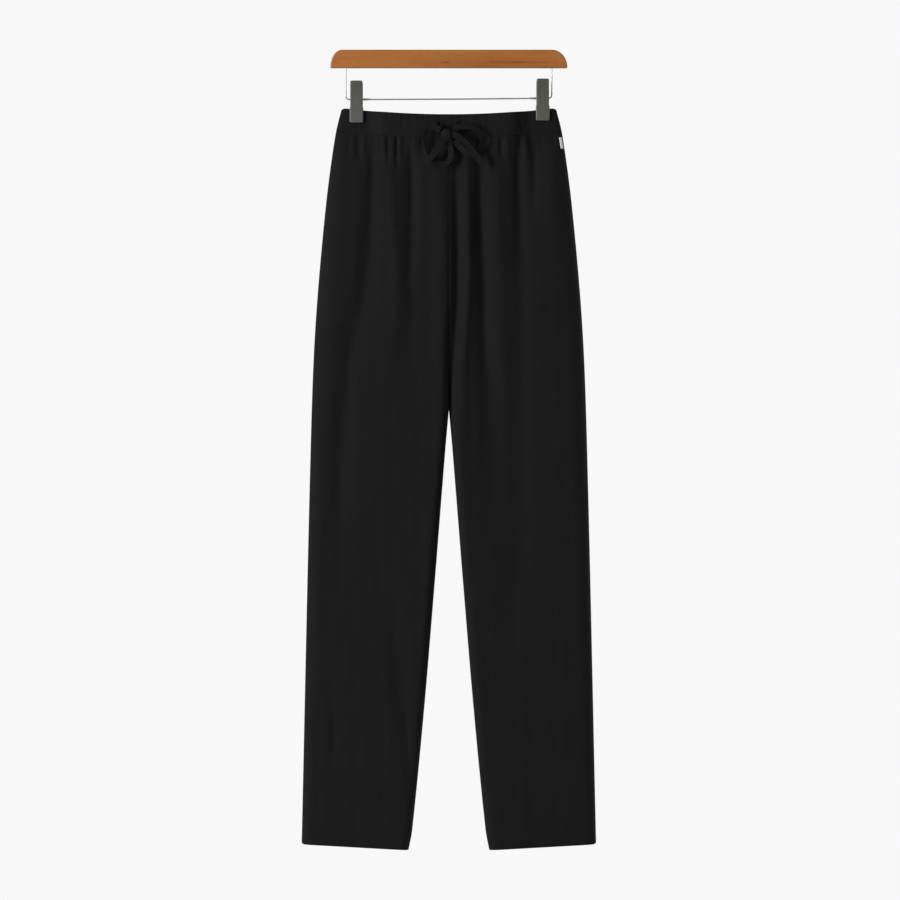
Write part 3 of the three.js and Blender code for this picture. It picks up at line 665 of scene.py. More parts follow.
# %% Fold lines
FOLDS = {
    "front": [
        [(-112, -104, 0, 7), (-150, -103, -3, 7), (-230, -105, -5, 11), (-324, -112, -5.6, 15),
         (-405, -131, -5, 15), (-475, -139, -5, 15), (-587, -146, -4, 14), (-763, -148, 0, 15)],
        [(-118, -84, 0, 8), (-150, -80, 1.4, 8), (-230, -76, 3, 10), (-324, -70, 3.4, 13),
         (-405, -78, 2.4, 16), (-480, -84, 0, 16)],
        [(-118, -51, 0, 6), (-158, -50, -4.4, 8), (-230, -50, -4.6, 8), (-324, -51, -2, 8),
         (-450, -51, 0, 9)],
        [(-130, -20, 0, 9), (-160, -16, 1, 9), (-230, -10, 2.6, 11), (-324, -9, 2.8, 14),
         (-405, -10, 2.6, 13), (-475, -12, 1.6, 13), (-587, -20, 0.6, 14), (-700, -30, 0, 14)],
        [(-122, 9, 0, 7), (-158, 10, -3, 7), (-230, 11, -6, 7), (-324, 11, -6.6, 7), (-405, 6.5, -6, 6.5),
         (-478, 3, -4, 6), (-520, 1, 0, 6)],
        [(-130, 24, 0, 6), (-158, 25, 1.4, 6), (-230, 26, 3, 6.5), (-324, 26.5, 3, 6.5), (-405, 21, 3, 7),
         (-475, 18, 2.4, 8), (-587, 18, 1.4, 10), (-700, 24, 0, 10)],
        [(-118, 43, 0, 7), (-158, 43, -5, 8), (-230, 43, -7.6, 9), (-324, 48, -7.2, 10),
         (-405, 50, -7.2, 12),
         (-475, 56, -5.4, 15), (-587, 60, -3.8, 18), (-700, 64, 0, 19)],
        [(-125, 66, 0, 8), (-158, 66, 1.2, 8), (-230, 66, 2.4, 9), (-324, 68, 1.4, 10), (-405, 70, 1.2, 10),
         (-475, 74, 0, 10)],
        [(-112, 94, 0, 6), (-158, 94, -5, 8), (-230, 96, -5.4, 9.5), (-324, 97, -3.4, 14),
         (-405, 97, -3.4, 15),
         (-475, 96, -4, 18), (-587, 95, -4, 20), (-700, 92, -2.2, 18), (-763, 88, -1.6, 14),
         (-860, 84, 0, 14)],
        [(-112, 115, 0, 6), (-140, 116, -2.8, 6), (-180, 114, -3, 7), (-240, 110, 0, 7)],
        [(-118, 140, 0, 9), (-158, 137, 2.2, 11), (-230, 135, 1.6, 14), (-310, 132, 0, 14)],
        [(-850, -156, 0, 8), (-925, -155, -1.6, 7), (-990, -154, 0, 8)],
        [(-660, -104, 0, 12), (-763, -76, -1.6, 12), (-860, -64, -2.4, 12), (-930, -56, -2.6, 10),
         (-1010, -50, -1, 12), (-1050, -48, 0, 12)],
    ],
    "back": [
        [(-112, -112, 0, 7), (-155, -113, -3.2, 8), (-240, -116, -4.2, 11), (-360, -134, -3, 14),
         (-560, -150, -1.8, 15), (-760, -154, 0, 15)],
        [(-118, -84, 0, 7), (-155, -82, -4.4, 8), (-250, -78, -4.6, 10), (-400, -72, -2, 12),
         (-520, -70, 0, 12)],
        [(-125, -62, 0, 9), (-165, -60, 1.6, 10), (-300, -54, 2.2, 12), (-470, -52, 0, 12)],
        [(-118, -36, 0, 7), (-158, -35, -5, 8), (-260, -33, -6, 10), (-400, -38, -3.6, 13),
         (-600, -58, -1.6, 16), (-760, -70, 0, 16)],
        [(-125, 0, 0, 9), (-175, 0, -2, 9), (-320, 0, -3.6, 9), (-440, 0, -3, 8), (-520, 0, 0, 8)],
        [(-118, 29, 0, 6), (-156, 30, -4, 7), (-260, 33, -5.4, 9), (-400, 42, -3.6, 13),
         (-600, 62, -1.8, 16), (-780, 74, 0, 16)],
        [(-125, 54, 0, 8), (-165, 56, 1.8, 9), (-300, 62, 2.2, 12), (-470, 66, 0, 12)],
        [(-118, 79, 0, 7), (-158, 80, -4.6, 8), (-250, 86, -4.6, 10), (-400, 98, -2.2, 13),
         (-540, 104, 0, 13)],
        [(-112, 110, 0, 6), (-150, 111, -3, 7), (-240, 118, -3.2, 10), (-340, 130, -1.6, 13),
         (-440, 136, 0, 13)],
        [(-700, 138, 0, 12), (-800, 132, -2, 12), (-940, 118, -2, 12), (-1030, 112, 0, 12)],
        [(-690, -96, 0, 13), (-790, -104, -2, 13), (-900, -118, -2, 13), (-1010, -124, 0, 13)],
    ],
}
# Short gathers: distance from the middle at the seam and at the lower end, height, half width, length
GATHERS = {
    "front": [
        (-134, -136, -1.0, 3.0, 40), (-123, -121, -2.2, 4.0, 48), (-115.5, -115, 1.0, 3.0, 40),
        (-99, -98, -1.6, 2.6, 38), (-92.7, -92, -1.4, 2.3, 32), (-87.5, -86, 1.5, 3.0, 60),
        (-82.5, -82, -2.0, 2.8, 44),
        (-76.5, -76, 0.9, 2.6, 40), (-70.6, -70, -2.8, 2.5, 56), (-65.8, -66, 1.8, 2.3, 48),
        (-47, -48, 0.8, 3.0, 40),
        (-36.6, -38, -1.6, 3.4, 46), (-28.5, -28, 1.6, 3.0, 44), (22, 22, -1.0, 2.6, 26),
        (50, 50, -1.2, 2.8, 34),
        (70.3, 70, -2.6, 2.5, 36), (78.5, 79, 1.4, 3.0, 46), (96, 97, -1.2, 2.6, 30),
        (104, 104, 1.6, 3.5, 62),
        (124, 124, -1.2, 3.0, 36), (141, 142, -0.9, 3.0, 34),
    ],
    "back": [
        (-137, -138, -1.2, 3.0, 38), (-125, -124, -1.8, 3.4, 46), (-98, -97, -1.8, 2.8, 42),
        (-91, -90, 1.2, 2.8, 46),
        (-72, -71, -1.6, 2.6, 34), (-50, -50, -2.2, 2.8, 50), (-44, -43, 1.2, 2.6, 40),
        (-22, -22, -1.8, 2.8, 42),
        (-11, -11, -1.4, 2.6, 32), (9, 9, -1.8, 2.8, 40), (18, 18, 1.2, 2.8, 44), (43, 44, -2.0, 2.8, 48),
        (65, 66, -1.6, 2.6, 36), (72, 72, 1.2, 2.6, 40), (95, 96, -2.0, 2.8, 44), (102, 103, 1.2, 2.8, 40),
        (124, 124, -1.8, 3.2, 46), (138, 139, -1.2, 3.0, 36),
    ],
}
GATHER_SEED = {"front": 4, "back": 9}
RIPPLE_STEP = 6.2
print("folds", {side: len(rows) for side, rows in FOLDS.items()})


# %% Height of all folds at a place on the cloth
def bell(away, power=1.8):
    return np.exp(-(np.abs(away) ** power))


def fold_height(side, x, z):
    height = np.zeros(np.broadcast(x, z).shape)
    for rows in FOLDS[side]:
        height += through(rows, z, 2) * bell((x - through(rows, z, 1)) / through(rows, z, 3))
    return height


def gather_height(side, x, z):
    """Short gathers under the waistband: listed ones, and a fine irregular puckering between them."""
    fall = band_bottom(x) - z
    height = np.zeros(np.broadcast(x, z).shape)
    for top, low, rise, half, length in GATHERS[side]:
        down = np.clip(fall / length, 0, 1)
        strength = (0.55 + 0.45 * soft(0, 9, fall)) * (1 - soft(0.35, 1, down))
        height += rise * strength * bell((x - lerp(top, low, down)) / half, 2)
    draw = np.random.default_rng(GATHER_SEED[side])
    for place_x in np.arange(-WAIST_HALF, WAIST_HALF, RIPPLE_STEP):
        centre = place_x + draw.uniform(-1.8, 1.8)
        rise, half, length = draw.uniform(-0.75, 0.35), draw.uniform(1.6, 2.6), draw.uniform(14, 30)
        height += rise * (1 - soft(0, length, fall)) * bell((x - centre) / half, 2)
    return height


def wander(x, z, size_x, size_z, seed):
    """Slow unevenness from -1 to 1: a few crossed waves with seeded phases."""
    draw = np.random.default_rng(seed)
    total = np.zeros(np.broadcast(x, z).shape)
    for _ in range(7):
        kx, kz = draw.normal(0, 1, 2)
        total += np.sin(2 * math.pi * (kx * x / size_x + kz * z / size_z) + draw.uniform(0, 2 * math.pi))
    return total / 4


def distance_from_middle(side, x, z, wall, fold_x, groove):
    """From the tube's middle plane to the outer surface (wall 0) or the inner one (wall = the cloth)."""
    inner_edge = np.where(z > CROTCH_Z, 0, through(INSEAM, z))
    outer = rounded(through(OUTSEAM, z) - np.abs(x) - wall, through(ROUNDING, z))
    inner = rounded(np.abs(x) - inner_edge - GAP / 2 - wall, through(SEAM_ROUNDING, z))
    shape = outer * (1 - groove + groove * inner)
    depth = half_depth(x, z)
    detail = fold_height(side, fold_x, z) + gather_height(side, fold_x, z)
    detail = detail + 0.35 * wander(fold_x, z, 60, 260, 3) + 0.05 * wander(fold_x, z, 14, 70, 5)
    return (depth - wall) * shape + detail * np.minimum(1, depth * shape / 10)


print("deepest fold", round(float(fold_height("front", np.linspace(-150, 150, 301), -230.0).min()), 1),
      "mm")

# %% [markdown]
# ## Leg panels
# A panel is a wall between an outer grid of points and an inner one, closed at its four edges. At the hem
# the cloth is turned up inside, so the wall is thicker there, and a rounded rim joins the two grids.
# Solidify could give the thickness, but it would push the tight folds through each other, and these grids
# never cross.

# %% Walls
TUCK = 2.4
TUCK_IN = 0.4


def grid_faces(rows, columns, start=0):
    corner = start + (np.arange(rows - 1)[:, None] * columns + np.arange(columns - 1)[None, :]).ravel()
    return np.stack([corner, corner + columns, corner + columns + 1, corner + 1], axis=1).tolist()


def wall_piece(name, outer, rim, inner, uv, material=None):
    """A closed wall: outer rows down, rim rows round the bottom edge, and inner rows back up."""
    loop = np.concatenate([outer, rim, inner[::-1]])
    rows, columns = loop.shape[:2]
    faces = grid_faces(rows, columns)
    last = (rows - 1) * columns
    faces += [(c + 1, c, last + c, last + c + 1)[::-1] for c in range(columns - 1)]
    for column in (0, columns - 1):
        half = len(outer)
        for row in range(half - 1):
            faces.append((row * columns + column, (row + 1) * columns + column,
                          (rows - 2 - row) * columns + column, (rows - 1 - row) * columns + column))
        faces.append(tuple(row * columns + column for row in range(half - 1, rows - half + 1)))
    uv_loop = np.concatenate([uv, uv[-1:].repeat(len(rim), axis=0), uv[::-1]])
    piece = add_mesh(name, (loop * MM).reshape(-1, 3), faces, material or cloth_material,
                     (uv_loop * MM).reshape(-1, 2))
    return point_outwards(piece)


def cloth_uv(grid):
    """Distances along the cloth: across each row, and down the middle column."""
    across = np.linalg.norm(np.diff(grid, axis=1), axis=2)
    u = np.concatenate([np.zeros((len(grid), 1)), np.cumsum(across, axis=1)], axis=1)
    u -= u[:, u.shape[1] // 2][:, None]
    down = np.linalg.norm(np.diff(grid, axis=0), axis=2).mean(axis=1)
    v = np.concatenate([[0], np.cumsum(down)])
    return np.stack([u, np.broadcast_to(v[:, None], u.shape)], axis=2)


def stations(columns, ends=0.85):
    """Shares from 0 to 1, closer together towards both ends where the cloth turns over."""
    t = np.linspace(0, 1, columns)
    return (1 - ends) * t + ends * (1 - np.cos(math.pi * t)) / 2


def panel_grids(side, hand, columns, upper, lower):
    """The outer and inner grids of one leg panel, in millimetres."""
    facing = -1 if side == "front" else 1
    s = stations(columns)[None, :]
    waist_x = s * WAIST_HALF
    hem_x = lerp(float(through(INSEAM, HEM_INNER_Z)), float(through(OUTSEAM, HEM_OUTER_Z)), s)
    top_share = np.linspace(0, 1, upper, endpoint=False)[:, None] ** 1.5
    low_share = np.linspace(0, 1, lower)[:, None] ** 0.96
    z = np.concatenate([lerp(band_bottom(waist_x) - GAP, CROTCH_Z, top_share),
                        lerp(CROTCH_Z, hem_line(hem_x), low_share)])
    edge = np.where(z > CROTCH_Z, 0, through(INSEAM, z)) + GAP / 2
    outseam = through(OUTSEAM, z)
    turned = 1 - soft(HEM_TURN - 1, HEM_TURN + 1, z - hem_line(hem_x))
    wall = lerp(CLOTH, HEM_CLOTH, turned)
    groove = groove_share(side, z)
    x = lerp(edge, outseam, s)
    wall_x = lerp(edge + wall, outseam - wall, s)
    out = distance_from_middle(side, hand * x, z, 0, hand * x, groove)
    out = out + 0.3 * bell((z - hem_line(hem_x) - HEM_TURN) / 1.4, 2) * np.minimum(1, out / 3)
    back = np.maximum(distance_from_middle(side, hand * wall_x, z, wall, hand * x, groove), 0)
    tucked = 1 - soft(0, TUCK, band_bottom(waist_x) - GAP - z)
    out = out - TUCK_IN * tucked * np.minimum(1, out / 4)
    outer = np.stack([hand * x, facing * (GAP / 2 + out), z], axis=2)
    inner = np.stack([hand * wall_x, facing * (GAP / 2 + back), z], axis=2)
    return outer, inner


def rim_rows(outer_row, inner_row, bulge, count=2):
    """Rows that carry the cloth round a folded edge, standing out by bulge along z."""
    rows = []
    for k in range(1, count + 1):
        angle = math.pi * k / (count + 1)
        row = lerp(outer_row, inner_row, (1 - math.cos(angle)) / 2)
        row[:, 2] += bulge * math.sin(angle)
        rows.append(row)
    return np.array(rows)


PANEL_COLUMNS = {"front": 124, "back": 96}
PANEL_ROWS = {"front": (150, 110), "back": (120, 90)}
PANEL_CUT = {"front": (0.245, 1.03, 0.198), "back": (0.265, 1.05, 0.21)}
panels = {}
for side in ("front", "back"):
    for name, hand in (("left", 1), ("right", -1)):
        outer, inner = panel_grids(side, hand, PANEL_COLUMNS[side], *PANEL_ROWS[side])
        rim = rim_rows(outer[-1], inner[-1], -0.6)
        panel = wall_piece(f"{side}_panel_{name}", outer, rim, inner, cloth_uv(outer))
        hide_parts(f"{side}_{name}")
        panels[side, name] = panel
        print(panel.name, len(panel.data.polygons), "faces")

# %% [markdown]
# ## Waistband
# The casing is a strip folded over wide elastic, so its top edge is a soft round fold, and the elastic
# draws it into fine puckers. One profile runs up the outside, over the top and down the inside, and is
# repeated from side seam to side seam. The two buttonholes are then cut through the front half.

# %% Waistband
BAND_COLUMNS = 340
BAND_LEVELS = 18
BAND_OVER = 9
PUCKER_SEED = {"front": 21, "back": 22}


def band_ripple(side, x, fall):
    """Fine puckers of the casing, each running some way up it from a random start."""
    draw = np.random.default_rng(PUCKER_SEED[side])
    height = np.zeros(np.broadcast(x, fall).shape)
    for place_x in np.arange(-WAIST_HALF - 4, WAIST_HALF + 4, 5.2):
        centre = place_x + draw.uniform(-1.6, 1.6)
        lean = draw.uniform(-1.5, 1.5) * fall / BAND_HEIGHT
        low, high = sorted(draw.uniform(0.15, 1.15, 2))
        reach = soft(low - 0.35, low, 1 - fall / BAND_HEIGHT) * (1 - soft(high, high + 0.3,
                                                                          1 - fall / BAND_HEIGHT))
        rise = draw.uniform(-0.85, 0.25)
        half = draw.uniform(1.5, 2.4)
        height += rise * (0.35 + 0.65 * reach) * bell((x - centre - lean) / half, 2)
    height += 0.3 * wander(x, fall, 40, 60, 31)
    return height


def band_grid(side):
    """Closed profile rows of the casing: up the outside, over the fold and down the inside."""
    facing = -1 if side == "front" else 1
    s = 2 * stations(BAND_COLUMNS, 0.5) - 1
    waist_x = s * WAIST_HALF
    top, bottom = band_top(waist_x), band_bottom(waist_x)
    radius = BAND_CLOTH / 2
    rows = []

    def add_row(z, wall_share, lift):
        outseam = through(OUTSEAM, z)
        inset = BAND_CLOTH * wall_share
        x = s * (outseam - inset)
        out = (half_depth(x, z) - inset) * rounded(outseam - inset - np.abs(x), through(ROUNDING, z))
        fade = np.minimum(1, out / 10) * (1 - 0.4 * wall_share)
        ripple = band_ripple(side, s * WAIST_HALF, top - z) * fade
        rows.append(np.stack([x, facing * (GAP / 2 + out + ripple), z + lift], axis=1))

    for level in np.linspace(0, 1, BAND_LEVELS):
        add_row(lerp(bottom, top - radius, level), 0, 0)
    for k in range(1, BAND_OVER):
        angle = math.pi * k / BAND_OVER
        add_row(top - radius, (1 - math.cos(angle)) / 2, radius * math.sin(angle))
    for level in np.linspace(1, 0, BAND_LEVELS):
        add_row(lerp(bottom, top - radius, level), 1, 0)
    return np.array(rows)


def band_piece(side):
    loop = band_grid(side)
    rows, columns = loop.shape[:2]
    faces = grid_faces(rows, columns)
    last = (rows - 1) * columns
    faces += [(c, c + 1, last + c + 1, last + c) for c in range(columns - 1)]
    for column in (0, columns - 1):
        for row in range(rows // 2 - 1):
            faces.append((row * columns + column, (row + 1) * columns + column,
                          (rows - 2 - row) * columns + column, (rows - 1 - row) * columns + column))
        if rows % 2:
            middle = rows // 2
            faces.append(((middle - 1) * columns + column, middle * columns + column,
                          (middle + 1) * columns + column))
    piece = add_mesh(f"waistband_{side}_cloth", (loop * MM).reshape(-1, 3), faces, cloth_material,
                     (cloth_uv(loop) * MM).reshape(-1, 2))
    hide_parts(f"waistband_{side}")
    return point_outwards(piece)


BUTTONHOLE_X = 13.5
BUTTONHOLE_Z = -103.0
BUTTONHOLE_HALF = (1.9, 5.4)


def slot_cutter():
    """Two upright slots with round ends, as one mesh to cut with."""
    shape = bmesh.new()
    for side in (-1, 1):
        rings = []
        for y in (-24.0, -6.0):
            ring = []
            for k in range(16):
                angle = 2 * math.pi * (k + 0.5) / 16
                z = BUTTONHOLE_Z + BUTTONHOLE_HALF[0] * math.sin(angle)
                z += math.copysign(BUTTONHOLE_HALF[1] - BUTTONHOLE_HALF[0], math.sin(angle))
                x = side * BUTTONHOLE_X + BUTTONHOLE_HALF[0] * math.cos(angle)
                ring.append(shape.verts.new((x * MM, y * MM, z * MM)))
            rings.append(ring)
        for k in range(16):
            shape.faces.new((rings[0][k], rings[0][(k + 1) % 16], rings[1][(k + 1) % 16], rings[1][k]))
        shape.faces.new(rings[0])
        shape.faces.new(rings[1])
    bmesh.ops.recalc_face_normals(shape, faces=shape.faces)
    mesh = bpy.data.meshes.new("slot_cutter")
    shape.to_mesh(mesh)
    shape.free()
    cutter = bpy.data.objects.new("slot_cutter", mesh)
    bpy.context.scene.collection.objects.link(cutter)
    return cutter


bands = {side: band_piece(side) for side in ("front", "back")}
cutter = slot_cutter()
cut = bands["front"].modifiers.new("buttonholes", "BOOLEAN")
cut.operation = "DIFFERENCE"
cut.solver = "EXACT"
cut.object = cutter
baked(bands["front"])
bpy.data.objects.remove(cutter)
for side, band in bands.items():
    print(band.name, len(band.data.polygons), "faces")

# %% [markdown]
# ## Side label
# A small blank satin label is folded double and caught in the wearer's left side seam, just under the
# waistband. It lies on the cloth, so its points are the panel's own, moved out.

# %% Side label
LABEL = {"top": -118.5, "height": 15.0, "near": 3.1, "far": 5.9, "thick": 0.8, "lift": 0.8}


def label_grids():
    z = np.linspace(LABEL["top"], LABEL["top"] - LABEL["height"], 24)[:, None]
    inward = np.linspace(LABEL["near"], LABEL["far"], 12)[None, :]
    x = through(OUTSEAM, z) - inward
    groove = groove_share("front", z)
    out = GAP / 2 + distance_from_middle("front", x, z, 0, x, groove)
    curl = 0.5 * (inward / LABEL["far"]) ** 3
    grids = []
    for amount in (LABEL["lift"] + LABEL["thick"], LABEL["lift"]):
        grids.append(np.stack([x + amount * 0.8, -(out + amount + curl), z + 0 * x], axis=2))
    return grids


label_outer, label_inner = label_grids()
label = wall_piece("blank_side_label", label_outer, rim_rows(label_outer[-1], label_inner[-1], -0.15),
                   label_inner,
                   cloth_uv(label_outer), label_material)
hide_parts("side_tag")
print("label", len(label.data.polygons), "faces")

# %% [markdown]
# ## Stitches
# Every seam that shows is a row of the same short stitch along a line, which is what Geometry Nodes are
# for. The tree walks a line at a fixed stitch length, sets a small rounded stitch at each step, turned
# along the line, makes the copies real and gives them the thread's material. It is built once and used for
# every seam.

# %% Stitch tree
def stitch_mesh():
    """One stitch lying along X, a millimetre long and wide: a low rounded capsule of a few faces."""
    shape = bmesh.new()
    rings = []
    for x, size in ((-0.5, 0.35), (-0.3, 0.9), (0.3, 0.9), (0.5, 0.35)):
        rings.append([shape.verts.new((x * MM, 0.5 * MM * size * math.cos(2 * math.pi * k / 6),
                                       0.5 * MM * size * math.sin(2 * math.pi * k / 6))) for k in range(6)])
    for a, b in zip(rings, rings[1:]):
        for k in range(6):
            shape.faces.new((a[k], a[(k + 1) % 6], b[(k + 1) % 6], b[k]))
    shape.faces.new(rings[0])
    shape.faces.new(rings[-1])
    bmesh.ops.recalc_face_normals(shape, faces=shape.faces)
    mesh = bpy.data.meshes.new("one_stitch")
    shape.to_mesh(mesh)
    shape.free()
    mesh.polygons.foreach_set("use_smooth", [True] * len(mesh.polygons))
    return mesh


def new_tree(name, inputs):
    """An empty geometry tree with a Geometry input and output and the named inputs (name, kind, default)."""
    tree = bpy.data.node_groups.new(name, "GeometryNodeTree")
    tree.interface.new_socket("Geometry", in_out="INPUT", socket_type="NodeSocketGeometry")
    for label, kind, default in inputs:
        socket = tree.interface.new_socket(label, in_out="INPUT", socket_type=kind)
        if default is not None:
            socket.default_value = default
    tree.interface.new_socket("Geometry", in_out="OUTPUT", socket_type="NodeSocketGeometry")
    return tree, tree.nodes.new("NodeGroupInput"), tree.nodes.new("NodeGroupOutput")


stitch_object = bpy.data.objects.new("one_stitch", stitch_mesh())
stitch_tree, stitch_in, stitch_out = new_tree("row of stitches", [
    ("Pitch", "NodeSocketFloat", 0.003), ("Length", "NodeSocketFloat", 2.2),
    ("Thread", "NodeSocketFloat", 0.4),
    ("Stitch", "NodeSocketObject", None), ("Material", "NodeSocketMaterial", None)])


def build_stitch_tree():
    tree = stitch_tree
    nodes, links = tree.nodes, tree.links
    to_curve = nodes.new("GeometryNodeMeshToCurve")
    resample = nodes.new("GeometryNodeResampleCurve")
    resample.mode = "LENGTH"
    tangent = nodes.new("GeometryNodeInputTangent")
    turn = nodes.new("FunctionNodeAlignRotationToVector")
    turn.axis = "X"
    scale = nodes.new("ShaderNodeCombineXYZ")
    source = nodes.new("GeometryNodeObjectInfo")
    stamp = nodes.new("GeometryNodeInstanceOnPoints")
    real = nodes.new("GeometryNodeRealizeInstances")
    dress = nodes.new("GeometryNodeSetMaterial")
    links.new(stitch_in.outputs["Geometry"], to_curve.inputs[0])
    links.new(to_curve.outputs[0], resample.inputs["Curve"])
    links.new(stitch_in.outputs["Pitch"], resample.inputs["Length"])
    links.new(resample.outputs[0], stamp.inputs["Points"])
    links.new(stitch_in.outputs["Stitch"], source.inputs["Object"])
    links.new(source.outputs["Geometry"], stamp.inputs["Instance"])
    links.new(tangent.outputs[0], turn.inputs["Vector"])
    links.new(turn.outputs["Rotation"], stamp.inputs["Rotation"])
    links.new(stitch_in.outputs["Length"], scale.inputs[0])
    links.new(stitch_in.outputs["Thread"], scale.inputs[1])
    links.new(stitch_in.outputs["Thread"], scale.inputs[2])
    links.new(scale.outputs[0], stamp.inputs["Scale"])
    links.new(stamp.outputs[0], real.inputs[0])
    links.new(real.outputs[0], dress.inputs[0])
    links.new(stitch_in.outputs["Material"], dress.inputs["Material"])
    links.new(dress.outputs[0], stitch_out.inputs[0])


def set_input(modifier, label, value):
    """Sets a modifier's input by its socket identifier."""
    for item in modifier.node_group.interface.items_tree:
        if item.item_type == "SOCKET" and item.in_out == "INPUT" and item.name == label:
            modifier[item.identifier] = value


def grown(name, lines, tree, slot, **inputs):
    """Runs a geometry tree over poly lines, given in millimetres, and keeps the result as a plain mesh."""
    points = []
    edges = []
    for line in lines:
        start = len(points)
        points += [tuple(p * MM) for p in np.asarray(line, float)]
        edges += [(start + i, start + i + 1) for i in range(len(line) - 1)]
    mesh = bpy.data.meshes.new(name)
    mesh.from_pydata(points, edges, [])
    piece = bpy.data.objects.new(name, mesh)
    bpy.context.scene.collection.objects.link(piece)
    modifier = piece.modifiers.new("grow", "NODES")
    modifier.node_group = tree
    for label, value in inputs.items():
        set_input(modifier, label, value)
    bpy.context.view_layer.update()
    return place(baked(piece))


build_stitch_tree()
print("stitch tree", len(stitch_tree.nodes), "nodes")

# %% [markdown]
# The casing is held by a row of stitches just above its lower seam.
# Each hem has one row where the turned-up cloth ends, and each buttonhole has a close ring of thread round
# its slot.

# %% Seam stitches
STITCH_LIFT = 0.1


def band_line(side, x, z):
    facing = -1 if side == "front" else 1
    out = half_depth(x, z) * rounded(through(OUTSEAM, z) - np.abs(x), through(ROUNDING, z))
    ripple = band_ripple(side, x, band_top(x) - z) * np.minimum(1, out / 10)
    return np.stack([x, facing * (GAP / 2 + out + ripple + STITCH_LIFT), z], axis=1)


def hem_stitch_line(side, hand):
    facing = -1 if side == "front" else 1
    s = stations(220)[6:-6]
    hem_x = lerp(float(through(INSEAM, HEM_INNER_Z)), float(through(OUTSEAM, HEM_OUTER_Z)), s)
    z = hem_line(hem_x) + HEM_TURN - 2.2
    x = hand * lerp(through(INSEAM, z) + GAP / 2, through(OUTSEAM, z), s)
    out = distance_from_middle(side, x, z, 0, x, groove_share(side, z))
    return np.stack([x, facing * (GAP / 2 + out + STITCH_LIFT), z], axis=1)


def buttonhole_ring(side):
    """A close zigzag round one slot."""
    line = []
    for k in range(61):
        angle = 2 * math.pi * k / 60
        half = np.array(BUTTONHOLE_HALF) + (0.5 if k % 2 else 1.6)
        x = side * BUTTONHOLE_X + half[0] * math.cos(angle)
        z = BUTTONHOLE_Z + half[1] * math.sin(angle)
        line.append(band_line("front", np.array([x]), np.array([z]))[0])
    return line


stitch_inputs = {"Stitch": stitch_object, "Material": thread_material}
for side in ("front", "back"):
    x = np.linspace(-146, 146, 420)
    rows = [band_line(side, x, band_bottom(x) + 2.2)]
    seam = grown(f"band_stitches_{side}", rows, stitch_tree, "cloth", Pitch=0.0034, Length=2.4, Thread=0.42,
                 **stitch_inputs)
    hem = grown(f"hem_stitches_{side}", [hem_stitch_line(side, hand) for hand in (1, -1)], stitch_tree,
                "cloth",
                Pitch=0.0036, Length=2.4, Thread=0.38, **stitch_inputs)
    print(seam.name, len(seam.data.polygons), hem.name, len(hem.data.polygons))
eyelets = grown("buttonhole_stitches", [buttonhole_ring(side) for side in (-1, 1)], stitch_tree, "cloth",
                Pitch=0.0006, Length=0.9, Thread=0.5, **stitch_inputs)
print(eyelets.name, len(eyelets.data.polygons))

# %% [markdown]
# ## The cloth's cut
# Each leg panel's cut size, before it is sewn, is read from PANEL_CUT, and nothing more is done with it.
# The panels are cut wider than they hang, because the elastic gathers them.

for (side, name), panel in panels.items():
    width, length, area = PANEL_CUT[side]

# %% [markdown]
# ## Hanger bar
# The bar is a flat-topped board whose ends are rounded down to the underside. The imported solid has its
# exact outline but sharp arrises, so the same outline is drawn again with a bevel, which is what sanding
# leaves. Two short dark flecks lie in the grain of its face.

# %% Hanger bar
BAR_LOW, BAR_HIGH = (np.array(corner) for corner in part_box("hanger_bar"))
BAR_CORNER = {"right": 0.016, "left": 0.021}
BAR_ROUND = 0.0018


def bar_outline():
    """The bar's face as (x, z) points, going round from the lower right corner of the wearer."""
    height = BAR_HIGH[2] - BAR_LOW[2]
    points = []
    for hand, sign, angles in (("left", 1, np.linspace(0, math.pi / 2, 20)),
                               ("right", -1, np.linspace(math.pi / 2, math.pi, 20))):
        corner = BAR_CORNER[hand]
        middle = BAR_HIGH[0] - corner if sign > 0 else BAR_LOW[0] + corner
        for angle in angles:
            points.append((middle + corner * math.cos(angle), BAR_LOW[2] + height * math.sin(angle)))
    return points


def prism(name, outline, low, high, material, bevel, segments=3):
    """An outline of (x, z) points pushed from y = low to y = high, its edges rounded."""
    count = len(outline)
    points = [(x, low, z) for x, z in outline] + [(x, high, z) for x, z in outline]
    faces = [(k, (k + 1) % count, count + (k + 1) % count, count + k) for k in range(count)]
    faces += [tuple(range(count)), tuple(range(2 * count - 1, count - 1, -1))]
    piece = point_outwards(add_mesh(name, points, faces, material))
    round_edges = piece.modifiers.new("round", "BEVEL")
    round_edges.width = bevel
    round_edges.segments = segments
    round_edges.limit_method = "ANGLE"
    round_edges.angle_limit = math.radians(35)
    round_edges.harden_normals = True
    return baked(piece)


bar = prism("wooden_bar", bar_outline(), BAR_LOW[1], BAR_HIGH[1], bar_material, BAR_ROUND, 4)
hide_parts("hanger_bar")
print("bar", [round(float(v), 3) for v in BAR_HIGH - BAR_LOW])

# %% [markdown]
# ## Wire, collars and springs
# The wire leaves one socket under the bar, bends, runs along and goes up into the other. A tube swept on
# its own line keeps the bends round. The collar beside each clip tapers on to the wire. Each spring is a
# close coil round the wire, made by a small geometry tree from its radius, pitch and number of turns.

# %% Wire and collars
WIRE_RADIUS = 0.001
WIRE_BEND = 0.0045
WIRE_LOW, WIRE_HIGH = (np.array(corner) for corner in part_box("hanger_wire"))
RUN_Z = {"right": WIRE_LOW[2] + WIRE_RADIUS, "left": WIRE_LOW[2] + WIRE_RADIUS + 0.0018}


